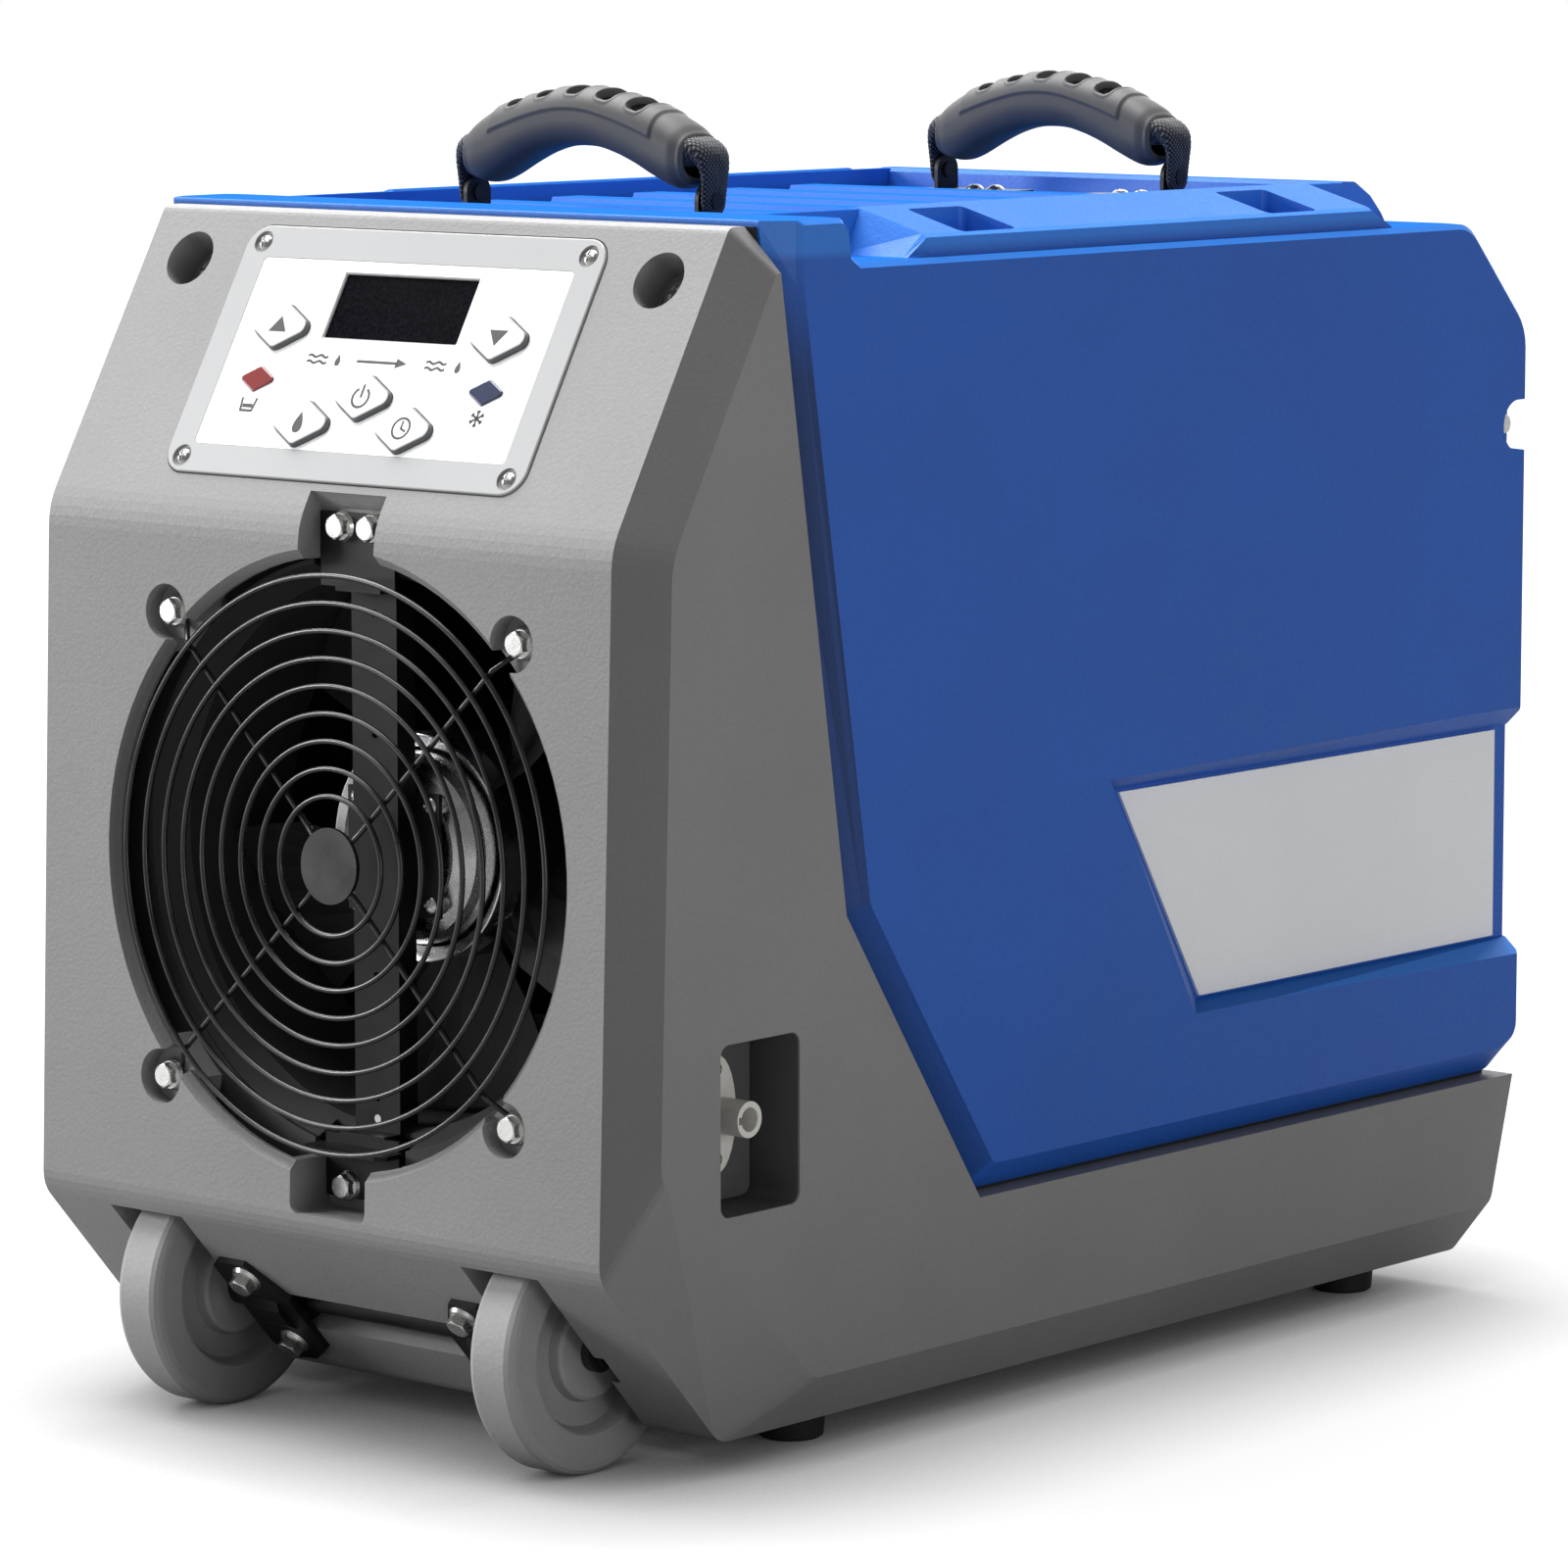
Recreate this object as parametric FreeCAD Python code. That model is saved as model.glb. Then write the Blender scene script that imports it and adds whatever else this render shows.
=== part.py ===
import FreeCAD, Part
import math
import os

# Portable commercial dehumidifier: two-piece rotomoulded case on two wheels and
# four feet, fan blowing out of the front, filter and coils at the rear.
# Millimetres, X to the right seen from the front, Y backwards, Z up. Shapes are
# drawn from the front face (Y = 0) and the fan height (Z = 0), and moved on export
# so that the origin is on the floor at the centre of the footprint.

Vec = FreeCAD.Vector
X_DIR, Y_DIR, Z_DIR = (1, 0, 0), (0, 1, 0), (0, 0, 1)
SIDES = (-1, 1)                  # left, right
CORNERS = [(a, b) for a in SIDES for b in SIDES]

# case
HALF_W = 187.3                   # half of the case width
HALF_FLAT = 169.5                # half width of the front face between corner chamfers
BEVEL_X = 176.0                  # half width at the foot of the cover's edge bevel
WALL = 6.0
FLOOR_Z = -260.0
BOTTOM_Z = -242.4                # underside of the case
TUB_Z = -236.9                   # inside floor of the case
REAR_Y = 664.5                   # rear wall of the cover
TOP_Z = 283.8                    # rim of the cover
LEDGE_Z = 264.3                  # side ledge outside the rails
DECK_Z = 275.0                   # recessed deck between the rails
SHIFT = Vec(0.0, -330.8, -FLOOR_Z)

# fan outlet and guard
FAN_X = 9.5                      # the fan sits this far right of the case centre
FAN_Z = 1.9                      # outlet centre above the datum
FACE_Y = 4.97                    # front face at the datum height
FACE_TILT = 1.777                # degrees the front face leans back
OPEN_R = 134.5
GUARD_R = 126.5                  # outer ring of the finger guard
RING_PITCH, RING_COUNT = 12.0, 9
WIRE_R = 1.25
GUARD_BOLT = 104.0               # guard bolts at plus and minus this, both ways
POCKET_DEPTH = 9.5               # guard bolt pockets
MOTOR_Z = 4.0                    # fan axis above the datum
MOTOR_R = 51.0
BLADE_R = 119.0
NOTCH_W, NOTCH_BACK = 45.5, 25.0  # bracket notches above and below the outlet
NOTCH_X0, NOTCH_X1 = FAN_X - NOTCH_W / 2, FAN_X + NOTCH_W / 2
BRACKET_BOLTS = [(FAN_X - 8.9, 148.4), (FAN_X + 9.4, 148.4), (FAN_X - 8.5, -143.0)]  # x, z

# wheels, axle and feet
WHEEL_R, WHEEL_W = 55.0, 25.6
WHEEL_IN = 95.1                  # inner face of each wheel from the centre
WHEEL_Y, WHEEL_Z = 52.1, FLOOR_Z + WHEEL_R
AXLE_R = 6.0
RUN = 0.05                       # running clearance on the radius
WELL_R, WELL_IN, WELL_OUT = 62.0, 85.0, 130.5
CHANNEL_R = 10.6                 # round bottom of the axle channel
CHANNEL_S, CHANNEL_DEPTH = 68.1, 8.6  # its place down the slant, its depth
AXLE_BOLT_X, AXLE_BOLT_S = 66.5, (43.0, 88.0)
AXLE_BOLTS = [(side * AXLE_BOLT_X, s) for side in SIDES for s in AXLE_BOLT_S]
FOOT_R = 15.5
FEET = [(side * 136.0, y) for side in SIDES for y in (165.0, 585.0)]  # x, y

# carry handles
HANDLE_Y = (186.0, 527.0)
PIVOT_Z = 286.0
PIN_R = 2.5
STRAP_T = 3.2
STRAP_X = 73.0                   # strap end
PLATE_SCREW_X = (38.7, 51.7)
STRAP_SCREWS = [(side * x, y) for y in HANDLE_Y for side in SIDES for x in PLATE_SCREW_X]

# control panel, in slope coordinates (x, up the slope from the crease, outwards)
PANEL_S = 82.0                   # panel centre
PANEL_FACE = 1.0                 # plate face above the case slope
OVERLAY_OUT = PANEL_FACE - 0.6   # bottom of the overlay recess
COUNTERBORE = 1.3                # depth round each panel screw
BUTTON_W, BUTTON_H, BUTTON_CORNER = 41.5, 23.6, 4.4  # diamond before rounding
BUTTONS = {"up": (-66.0, 93.1), "down": (65.1, 93.0), "power": (-1.0, 61.2),
           "purge": (-32.2, 47.2), "timer": (29.4, 47.3)}
LAMPS = {"full": (-69.3, 67.5), "defrost": (68.1, 67.7)}
PANEL_SCREWS = [(side * 97.8, s) for side in SIDES for s in (28.3, 134.9)]
DISPLAY_S, DISPLAY_W, DISPLAY_H = 105.5, 79.8, 31.4
HOUSING_SCREW_X, HOUSING_SCREW_S = 141.0, 125.5  # deep screws beside the panel

# drain pocket in the right flank
POCKET_Y0, POCKET_Y1, POCKET_Z0, POCKET_Z1 = 58.0, 110.3, -140.0, -64.9
POCKET_X = 157.5                 # its floor
DRAIN_Y, DRAIN_Z = 84.3, -100.8
FLANGE_SCREW = 19.75             # flange screws above and below the outlet
DRAIN_SCREW_Y, DRAIN_SCREW_Z = 64.5, (-72.0, -133.0)

# rear intake, power inlet, flank details
OPEN_X, OPEN_Z0, OPEN_Z1 = 130.0, -80.0, 190.0
SEAT_X, SEAT_Y, SEAT_Z0, SEAT_Z1 = 141.0, 661.0, -91.0, 201.0
INLET_X, INLET_Z = -100.0, -116.5
FRAME_SCREWS = [(side * 135.6, z) for side in SIDES for z in (-85.4, 55.0, 195.4)]
INLET_SCREWS = [(INLET_X + side * 23.5, INLET_Z) for side in SIDES]
BADGE_X = 174.2                  # floor of the badge recess
COVER_BOLT_X, COVER_BOLT_Y, COVER_BOLT_Z = 172.8, 656.0, 164.5

os.makedirs("parts", exist_ok=True)


def save(name, shape):
    """Move a shape, or a list of shapes, to the floor origin and export it."""
    if isinstance(shape, list):
        shape = Part.makeCompound(shape)
    shape = shape.copy()
    shape.translate(SHIFT)
    solids = shape.Solids
    out = solids[0] if len(solids) == 1 else Part.makeCompound(solids)
    out.exportStep("parts/%s.step" % name)


# ---------------------------------------------------------------------------
# shape helpers
# ---------------------------------------------------------------------------
def span(side, near, far):
    """Ascending X limits of something between near and far on one side."""
    return sorted((side * near, side * far))


def box(x0, x1, y0, y1, z0, z1):
    return Part.makeBox(x1 - x0, y1 - y0, z1 - z0, Vec(x0, y0, z0))


def cylinder(start, direction, radius, height):
    return Part.makeCylinder(radius, height, Vec(*start), Vec(*direction))


def polygon_face(points):
    points = [Vec(*p) for p in points]
    return Part.Face(Part.makePolygon(points + [points[0]]))


def prism_x(points, x0, x1):
    """Extrude a (y, z) outline along X."""
    return polygon_face([(x0, y, z) for y, z in points]).extrude(Vec(x1 - x0, 0, 0))


def prism_z(points, z0, z1):
    """Extrude an (x, y) outline along Z."""
    return polygon_face([(x, y, z0) for x, y in points]).extrude(Vec(0, 0, z1 - z0))


def fuse(first, *others):
    return first.fuse(list(others)).removeSplitter()


def largest(shape):
    return sorted(shape.Solids, key=lambda s: -s.Volume)[0]


def outward(solid):
    """Turn an inside-out solid the right way."""
    if solid.Volume < 0:
        solid.reverse()
    return solid


def is_planar(quad):
    a, b, c, d = [Vec(*p) for p in quad]
    normal = (b - a).cross(c - a)
    if normal.Length < 1e-9:
        return True
    normal.normalize()
    return abs(normal.dot(d - a)) < 1e-6


def ruled_solid(sections):
    """Closed solid through closed polygons with equal numbers of points."""
    faces = [polygon_face(sections[0]), polygon_face(sections[-1])]
    count = len(sections[0])
    for a, b in zip(sections[:-1], sections[1:]):
        for i in range(count):
            j = (i + 1) % count
            quad = [a[i], a[j], b[j], b[i]]
            if is_planar(quad):
                faces.append(polygon_face(quad))
            else:
                faces.append(polygon_face(quad[:3]))
                faces.append(polygon_face([quad[0], quad[2], quad[3]]))
    return outward(Part.makeSolid(Part.makeShell(faces)))


def plate_from_edges(edges, z0, z1):
    face = Part.Face(Part.Wire(Part.__sortEdges__(edges)))
    face.translate(Vec(0, 0, z0))
    return face.extrude(Vec(0, 0, z1 - z0))


def rounded_plate(cx, cy, width, height, radius, z0, z1):
    x0, x1, y0, y1 = cx - width / 2, cx + width / 2, cy - height / 2, cy + height / 2
    r = radius
    k = radius * (1 - math.sqrt(0.5))
    # start and end of each side, then the middle of the corner arc after it
    outline = [((x0 + r, y0), (x1 - r, y0), (x1 - k, y0 + k)),
               ((x1, y0 + r), (x1, y1 - r), (x1 - k, y1 - k)),
               ((x1 - r, y1), (x0 + r, y1), (x0 + k, y1 - k)),
               ((x0, y1 - r), (x0, y0 + r), (x0 + k, y0 + k))]
    edges = []
    for i in range(4):
        start, end, middle = [Vec(*p, 0) for p in outline[i]]
        following = Vec(*outline[(i + 1) % 4][0], 0)
        edges.append(Part.LineSegment(start, end).toShape())
        edges.append(Part.Arc(end, middle, following).toShape())
    return plate_from_edges(edges, z0, z1)


def rounded_plate_yz(y0, y1, z0, z1, radius, x0, x1):
    plate = rounded_plate((y0 + y1) / 2, (z0 + z1) / 2, y1 - y0, z1 - z0, radius, 0, x1 - x0)
    turn = FreeCAD.Matrix(0, 0, 1, x0, 1, 0, 0, 0, 0, 1, 0, 0, 0, 0, 0, 1)
    plate.Placement = FreeCAD.Placement(turn).multiply(plate.Placement)
    return plate


def rounded_plate_xz(x0, x1, z0, z1, radius, y0, y1):
    plate = rounded_plate((x0 + x1) / 2, -(z0 + z1) / 2, x1 - x0, z1 - z0, radius, 0, y1 - y0)
    plate.rotate(Vec(0, 0, 0), Vec(1, 0, 0), -90)
    plate.translate(Vec(0, y0, 0))
    return plate


def diamond(cx, cy, width, height, radius, z0, z1):
    """Rounded diamond plate, its long diagonal along X."""
    tips = [Vec(cx - width / 2, cy, 0), Vec(cx, cy - height / 2, 0),
            Vec(cx + width / 2, cy, 0), Vec(cx, cy + height / 2, 0)]
    arcs = []
    for i in range(4):
        tip = tips[i]
        before = tips[i - 1] - tip
        before.normalize()
        after = tips[(i + 1) % 4] - tip
        after.normalize()
        half = math.acos(before.dot(after)) / 2
        tangent = radius / math.tan(half)
        bisector = before + after
        bisector.normalize()
        centre = tip + bisector * (radius / math.sin(half))
        arcs.append((tip + before * tangent, centre - bisector * radius, tip + after * tangent))
    edges = []
    for i in range(4):
        edges.append(Part.Arc(*arcs[i]).toShape())
        edges.append(Part.LineSegment(arcs[i][2], arcs[(i + 1) % 4][0]).toShape())
    return plate_from_edges(edges, z0, z1)


def soften(points, cuts, steps=4):
    """Round the corners of a closed 3-D outline. Outlines given the same cuts
    keep the same number of points."""
    out = []
    for i, point in enumerate(points):
        if cuts[i] <= 0:
            out.append(point)
            continue
        corner = Vec(*point)
        back = Vec(*points[i - 1]) - corner
        ahead = Vec(*points[(i + 1) % len(points)]) - corner
        a = corner + back * (min(cuts[i], 0.45 * back.Length) / back.Length)
        b = corner + ahead * (min(cuts[i], 0.45 * ahead.Length) / ahead.Length)
        for k in range(steps + 1):
            t = k / steps
            p = a * ((1 - t) ** 2) + corner * (2 * t * (1 - t)) + b * (t * t)
            out.append((p.x, p.y, p.z))
    return out


def revolved(points, centre, axis):
    return outward(polygon_face(points).revolve(Vec(*centre), Vec(*axis), 360))


def try_fillet(shape, edges, radius):
    """Fillet the edges; they stay sharp where the kernel cannot round them."""
    try:
        rounded = shape.makeFillet(radius, edges)
        if rounded.isValid() and len(rounded.Solids) == 1 and rounded.Volume > 0:
            return rounded.Solids[0]
    except Exception:
        # makeFillet raises on edges it cannot solve
        pass
    return shape


def edges_at_z(shape, z):
    return [e for e in shape.Edges if abs(e.CenterOfMass.z - z) < 0.01]


def pipe(points, radius):
    """Round pipe with ball corners."""
    pieces = []
    for p, q in zip(points[:-1], points[1:]):
        run = Vec(*q) - Vec(*p)
        pieces.append(cylinder(p, run, radius, run.Length))
    for p in points[1:-1]:
        pieces.append(Part.makeSphere(radius, Vec(*p)))
    return pieces[0].fuse(pieces[1:])


# ---------------------------------------------------------------------------
# fasteners: seat is the point under the head, direction points out of the head
# ---------------------------------------------------------------------------
def hex_head(base, direction, across, height):
    points = []
    for i in range(6):
        angle = math.radians(60 * i + 30)
        corner_r = across / math.sqrt(3)
        points.append((corner_r * math.cos(angle), corner_r * math.sin(angle), 0))
    head = polygon_face(points).extrude(Vec(0, 0, height))
    # only the six corners are turned down by the dome
    dome_r = across * 0.9
    dome_z = height - math.sqrt(dome_r ** 2 - (across * 0.46) ** 2)
    head = head.common(Part.makeSphere(dome_r, Vec(0, 0, dome_z)))
    head.Placement = FreeCAD.Placement(base, FreeCAD.Rotation(Vec(0, 0, 1), direction))
    return head


def flange_bolt(seat, direction, across, flange_r, head, length):
    axis = Vec(*direction)
    axis.normalize()
    seat = Vec(*seat)
    flange = Part.makeCone(flange_r, flange_r * 0.86, 1.5, seat, axis)
    hexagon = hex_head(seat + axis * 1.4, axis, across, head)
    shank = Part.makeCylinder(3.0, length + 0.2, seat - axis * length, axis)
    return fuse(flange, hexagon, shank)


def screw(seat, direction, head_r, head_h, shank_r, length):
    """Pan head screw with a cross recess."""
    axis = Vec(*direction)
    axis.normalize()
    seat = Vec(*seat)
    crown_r = head_r * 1.25
    crown = Part.makeSphere(crown_r, seat + axis * (head_h - crown_r))
    head = Part.makeCylinder(head_r, head_h, seat, axis).common(crown)
    recess = FreeCAD.Placement(seat + axis * (head_h * 0.45), FreeCAD.Rotation(Vec(0, 0, 1), axis))
    for angle in (0, 90):
        slot = Part.makeBox(head_r * 1.25, head_r * 0.28, head_h,
                            Vec(-head_r * 0.625, -head_r * 0.14, 0))
        slot.rotate(Vec(0, 0, 0), Vec(0, 0, 1), angle)
        slot.Placement = recess.multiply(slot.Placement)
        head = head.cut(slot)
    shank = Part.makeCylinder(shank_r, length + 0.1, seat - axis * length, axis)
    return fuse(head, shank)


# ---------------------------------------------------------------------------
# frames
# ---------------------------------------------------------------------------
def on_front(shape):
    """From x right, y behind the face, z up the face to the leaning front."""
    shape = shape.copy()
    shape.rotate(Vec(0, 0, 0), Vec(1, 0, 0), -FACE_TILT)
    shape.translate(Vec(FAN_X, FACE_Y + FAN_Z * math.tan(math.radians(FACE_TILT)), FAN_Z))
    return shape


# sloped control face: x right, y up the slope from the crease, z outwards
CREASE = Vec(0, 9.6, 149.2)
SLOPE_TOP = Vec(0, 85.1, 281.0)
SLOPE_UP = SLOPE_TOP - CREASE
SLOPE_UP.normalize()
SLOPE_OUT = Vec(1, 0, 0).cross(SLOPE_UP)
SLOPE_OUT.normalize()
SLOPE = FreeCAD.Placement(FreeCAD.Matrix(1, 0, 0, 0,
                                         0, SLOPE_UP.y, SLOPE_OUT.y, CREASE.y,
                                         0, SLOPE_UP.z, SLOPE_OUT.z, CREASE.z,
                                         0, 0, 0, 1))


def on_slope(shape):
    shape = shape.copy()
    shape.Placement = SLOPE.multiply(shape.Placement)
    return shape


def slope_point(x, up, out):
    return SLOPE.multVec(Vec(x, up, out))


# slanted lower front: x right, down the slant from its top edge, outwards
SLANT_TOP = Vec(0, 0.0, -160.3)
SLANT_DOWN = Vec(0, 74.3, BOTTOM_Z) - SLANT_TOP
SLANT_DOWN.normalize()
SLANT_OUT = SLANT_DOWN.cross(Vec(1, 0, 0))      # forward and down
SLANT_OUT.normalize()


def slant_point(x, down, out):
    return Vec(x, 0, 0) + SLANT_TOP + SLANT_DOWN * down + SLANT_OUT * out


def slant_prism(points, x0, x1):
    """Extrude a (down, out) outline along X."""
    return polygon_face([slant_point(x0, s, w) for s, w in points]).extrude(Vec(x1 - x0, 0, 0))


def slant_box(x0, x1, s0, s1, w0, w1):
    return slant_prism([(s0, w0), (s1, w0), (s1, w1), (s0, w1)], x0, x1)


def slant_bolt_hole(x, down):
    return cylinder(slant_point(x, down, -20), SLANT_OUT, 3.1, 30)


# ---------------------------------------------------------------------------
# case outlines and hollows, (y, z)
# ---------------------------------------------------------------------------
# joint line between housing and cover
JOINT_TOP, JOINT_MID, JOINT_LOW = (94.9, 281.0), (141.8, -18.5), (235.2, -156.4)
HOUSING_FACE = [(0.0, -160.3), (9.6, 149.2), (85.1, 281.0), JOINT_TOP, JOINT_MID, JOINT_LOW,
                (655.8, -156.4), (631.5, BOTTOM_Z), (74.3, BOTTOM_Z)]
HOUSING_FACE_X = [HALF_FLAT] * 7 + [172.2] * 2   # half width at each point
HOUSING_FLANK = [(19.56, -118.3), (27.7, 144.1), (95.0, 261.6), (97.9, 261.6), JOINT_MID,
                 JOINT_LOW, (655.8, -156.4), (638.0, -219.4), (119.0, -219.4)]
HOUSING_CUTS = [7.0, 9.0, 3.0, 0, 0, 0, 0, 6.0, 6.0]
COVER_CROWN = [(96.1, TOP_Z), (100.3, 257.0), (143.6, -17.9), (237.0, -154.6),
               (649.5, -154.6), (REAR_Y, -141.3), (REAR_Y, 213.8), (612.5, LEDGE_Z),
               (150.0, LEDGE_Z), (145.6, 268.0), (144.2, 279.0), (139.6, TOP_Z)]
COVER_EDGE = [(110.2, 283.6), (110.2, 256.7), (155.2, -16.4), (243.0, -145.0),
              (645.8, -145.0), (661.2, -137.4), (661.2, 212.4), (611.2, 264.1),
              (150.0, 264.1), (145.6, 267.8), (144.2, 278.8), (139.6, 283.6)]
COVER_FLANK = [(112.8, 281.4), (112.8, 256.3), (158.0, -15.4), (244.8, -142.2),
               (644.6, -142.2), (658.4, -135.4), (658.4, 211.0), (609.8, 261.6),
               (150.6, 261.6), (144.2, 265.8), (142.6, 277.8), (139.0, 281.4)]
COVER_CUTS = [1.5, 0, 3.0, 3.0, 5.0, 5.0, 9.0, 9.0, 0, 0, 0, 1.5]
CAVITY = [(WALL, -157.5), (WALL + 304.0 * math.tan(math.radians(FACE_TILT)), 146.5),
          (79.5, 258.0), (609.0, 258.0), (657.5, 211.0), (657.5, -139.0),
          (648.0, -156.5), (625.0, TUB_Z), (77.0, TUB_Z)]
# hollows that widen the cavity into the flanks
COVER_HOLLOW = [(185, 46), (168, 148), (152, 246), (594, 246), (633, 208), (633, 46)]
CHEEK_HOLLOW = [(36, -52), (39, 138), (88, 226), (126, -8), (126, -52)]
BASE_HOLLOW = [(250, -166), (640, -166), (628, -212), (245, -212)]


def housing_face(side):
    return soften([(side * x, y, z) for x, (y, z) in zip(HOUSING_FACE_X, HOUSING_FACE)],
                  HOUSING_CUTS)


def housing_flank(side):
    return soften([(side * HALF_W, y, z) for y, z in HOUSING_FLANK], HOUSING_CUTS)


def cover_section(x, points):
    return soften([(x, y, z) for y, z in points], COVER_CUTS)


def flank_hollows(points):
    return [prism_x(points, *span(side, 165, HALF_W - WALL)) for side in SIDES]


cavity = prism_x(CAVITY, -170.0, 170.0)


# ---------------------------------------------------------------------------
# front housing: each feature gives the liners to add and the cutters to take away
# ---------------------------------------------------------------------------
def guard_pockets():
    """Round pockets round the guard bolts, each with a slot towards the outlet."""
    adds, cuts = [], []
    for sx, sz in CORNERS:
        x, z = sx * GUARD_BOLT, sz * GUARD_BOLT
        adds.append(on_front(cylinder((x, 0.5, z), Y_DIR, 18.0, 20.0)))
        cuts.append(on_front(cylinder((x, -5, z), Y_DIR, 12.4, 5 + POCKET_DEPTH)))
        slot = box(-7.5, 7.5, -5, POCKET_DEPTH, -34, 0)
        slot.rotate(Vec(0, 0, 0), Vec(0, 1, 0), sx * (90 - 45 * sz))
        slot.translate(Vec(x, 0, z))
        cuts.append(on_front(slot))
        cuts.append(on_front(cylinder((x, POCKET_DEPTH - 1, z), Y_DIR, 3.1, 9.0)))
    return adds, cuts


def bracket_notches():
    """Notches above and below the outlet that take the fan bracket."""
    liner_x = (NOTCH_X0 - 4, NOTCH_X1 + 4)
    top_liner = prism_x([(5, 122), (12, 163), (22, 174), (32, 174), (32, 118)], *liner_x)
    top_notch = prism_x([(-10, 110), (-10, 163.5), (18.5, 163.5), (NOTCH_BACK, 156),
                         (NOTCH_BACK, 110)], NOTCH_X0, NOTCH_X1)
    low_liner = prism_x([(3, -122), (3, -160), (32, -160), (32, -122)], *liner_x)
    low_notch = prism_x([(-10, -110), (-10, -153.5), (NOTCH_BACK, -153.5), (NOTCH_BACK, -110)],
                        NOTCH_X0, NOTCH_X1)
    corners = []
    for edge in low_notch.Edges:
        p, q = edge.Vertexes[0].Point, edge.Vertexes[-1].Point
        if abs(p.x - q.x) < 0.01 and abs(p.y - q.y) > 20 and p.z < -150:
            corners.append(edge)
    return [top_liner, low_liner], [top_notch, try_fillet(low_notch, corners, 5.0)]


def wheel_wells():
    adds, cuts = [], []
    for side in SIDES:
        x0, x1 = span(side, WELL_IN - 4.5, WELL_OUT + 4.5)
        adds.append(cylinder((x0, WHEEL_Y, WHEEL_Z), X_DIR, WELL_R + 4.5, x1 - x0))
        x0, x1 = span(side, WELL_IN, WELL_OUT)
        cuts.append(cylinder((x0, WHEEL_Y, WHEEL_Z), X_DIR, WELL_R, x1 - x0))
        cuts.append(box(x0, x1, WHEEL_Y - 25, WHEEL_Y + WELL_R, -300, WHEEL_Z))
        # relief for the axle end, and its lining; the left lining is one
        # cylinder inside a longer one
        x0 = span(side, 120, 136)[0]
        cuts.append(cylinder((x0, WHEEL_Y, WHEEL_Z), X_DIR, 12.0, 16))
        for end in (140,) if side > 0 else (136, 140):
            x0 = span(side, 120, end)[0]
            adds.append(cylinder((x0, WHEEL_Y, WHEEL_Z), X_DIR, 16.0, end - 120))
    return adds, cuts


def axle_channel():
    """Channel across the slanted lower front."""
    adds = [cylinder((-84, WHEEL_Y, WHEEL_Z), X_DIR, CHANNEL_R + 5.0, 168),
            slant_box(-84, 84, CHANNEL_S - 34, CHANNEL_S + 34, -16.0, -1.0)]
    cuts = [cylinder((-90, WHEEL_Y, WHEEL_Z), X_DIR, CHANNEL_R, 180),
            slant_box(-90, 90, 54.5, CHANNEL_S + CHANNEL_R, -CHANNEL_DEPTH, 20)]
    return adds, cuts


def housing_screw_wells():
    """Deep round recesses beside the control panel."""
    adds, cuts = [], []
    for side in SIDES:
        def bore(out, radius, depth):
            start = slope_point(side * HOUSING_SCREW_X, HOUSING_SCREW_S, out)
            return cylinder(start, SLOPE_OUT, radius, depth)
        adds.append(bore(-24.0, 18.0, 23.5))
        cuts.append(bore(-18.0, 13.4, 40.0))
        cuts.append(bore(-26.0, 2.6, 12.0))
    return adds, cuts


def panel_seat():
    """Seat and window for the control panel, with its screw posts."""
    adds = [on_slope(rounded_plate(0, PANEL_S, 224.0, 130.0, 14.0, -9.0, -0.5))]
    cuts = [on_slope(rounded_plate(0, PANEL_S, 217.0, 124.0, 12.8, -2.0, 20)),
            on_slope(rounded_plate(0, 81.0, 190.0, 92.0, 6.0, -20, 5))]
    for x, s in PANEL_SCREWS:
        adds.append(cylinder(slope_point(x, s, -16.0), SLOPE_OUT, 5.0, 14.0))
        cuts.append(cylinder(slope_point(x, s, -14.0), SLOPE_OUT, 2.0, 15.0))
    return adds, cuts


def drain_pocket():
    adds = [rounded_plate_yz(POCKET_Y0 - 4.5, POCKET_Y1 + 4.5, POCKET_Z0 - 4.5,
                             POCKET_Z1 + 4.5, 9.0, POCKET_X - 4.5, 184.0)]
    cuts = [rounded_plate_yz(POCKET_Y0, POCKET_Y1, POCKET_Z0, POCKET_Z1, 5.5, POCKET_X, 200.0),
            cylinder((140, DRAIN_Y, DRAIN_Z), X_DIR, 9.2, 30)]
    for k in SIDES:
        cuts.append(cylinder((149, DRAIN_Y, DRAIN_Z + k * FLANGE_SCREW), X_DIR, 1.6, 20))
    return adds, cuts


def front_housing():
    outer = ruled_solid([housing_flank(-1), housing_face(-1), housing_face(1), housing_flank(1)])
    body = outer.cut([cavity] + flank_hollows(CHEEK_HOLLOW) + flank_hollows(BASE_HOLLOW))
    adds, cuts = [], []
    for feature in (guard_pockets, bracket_notches, wheel_wells, axle_channel,
                    housing_screw_wells, panel_seat, drain_pocket):
        liners, cutters = feature()
        adds += liners
        cuts += cutters
    # every liner stays inside the outer skin
    body = fuse(body, *[a.common(outer) for a in adds])
    opening = on_front(cylinder((0, -20, 0), Y_DIR, OPEN_R, 70))
    lead = on_front(Part.makeCone(OPEN_R + 4.0, OPEN_R, 4.0, Vec(0, -0.01, 0), Vec(0, 1, 0)))
    body = body.cut([opening, lead] + cuts)
    holes = [cylinder((x, 20, z), Y_DIR, 3.1, 20) for x, z in BRACKET_BOLTS]
    holes += [slant_bolt_hole(x, s) for x, s in AXLE_BOLTS]
    holes += [cylinder((150, DRAIN_SCREW_Y, z), X_DIR, 1.6, 10) for z in DRAIN_SCREW_Z]
    holes += [cylinder((x, y, -250), Z_DIR, 2.6, 30) for x, y in FEET]
    return largest(body.cut(holes))


save("front_housing", front_housing())

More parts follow.
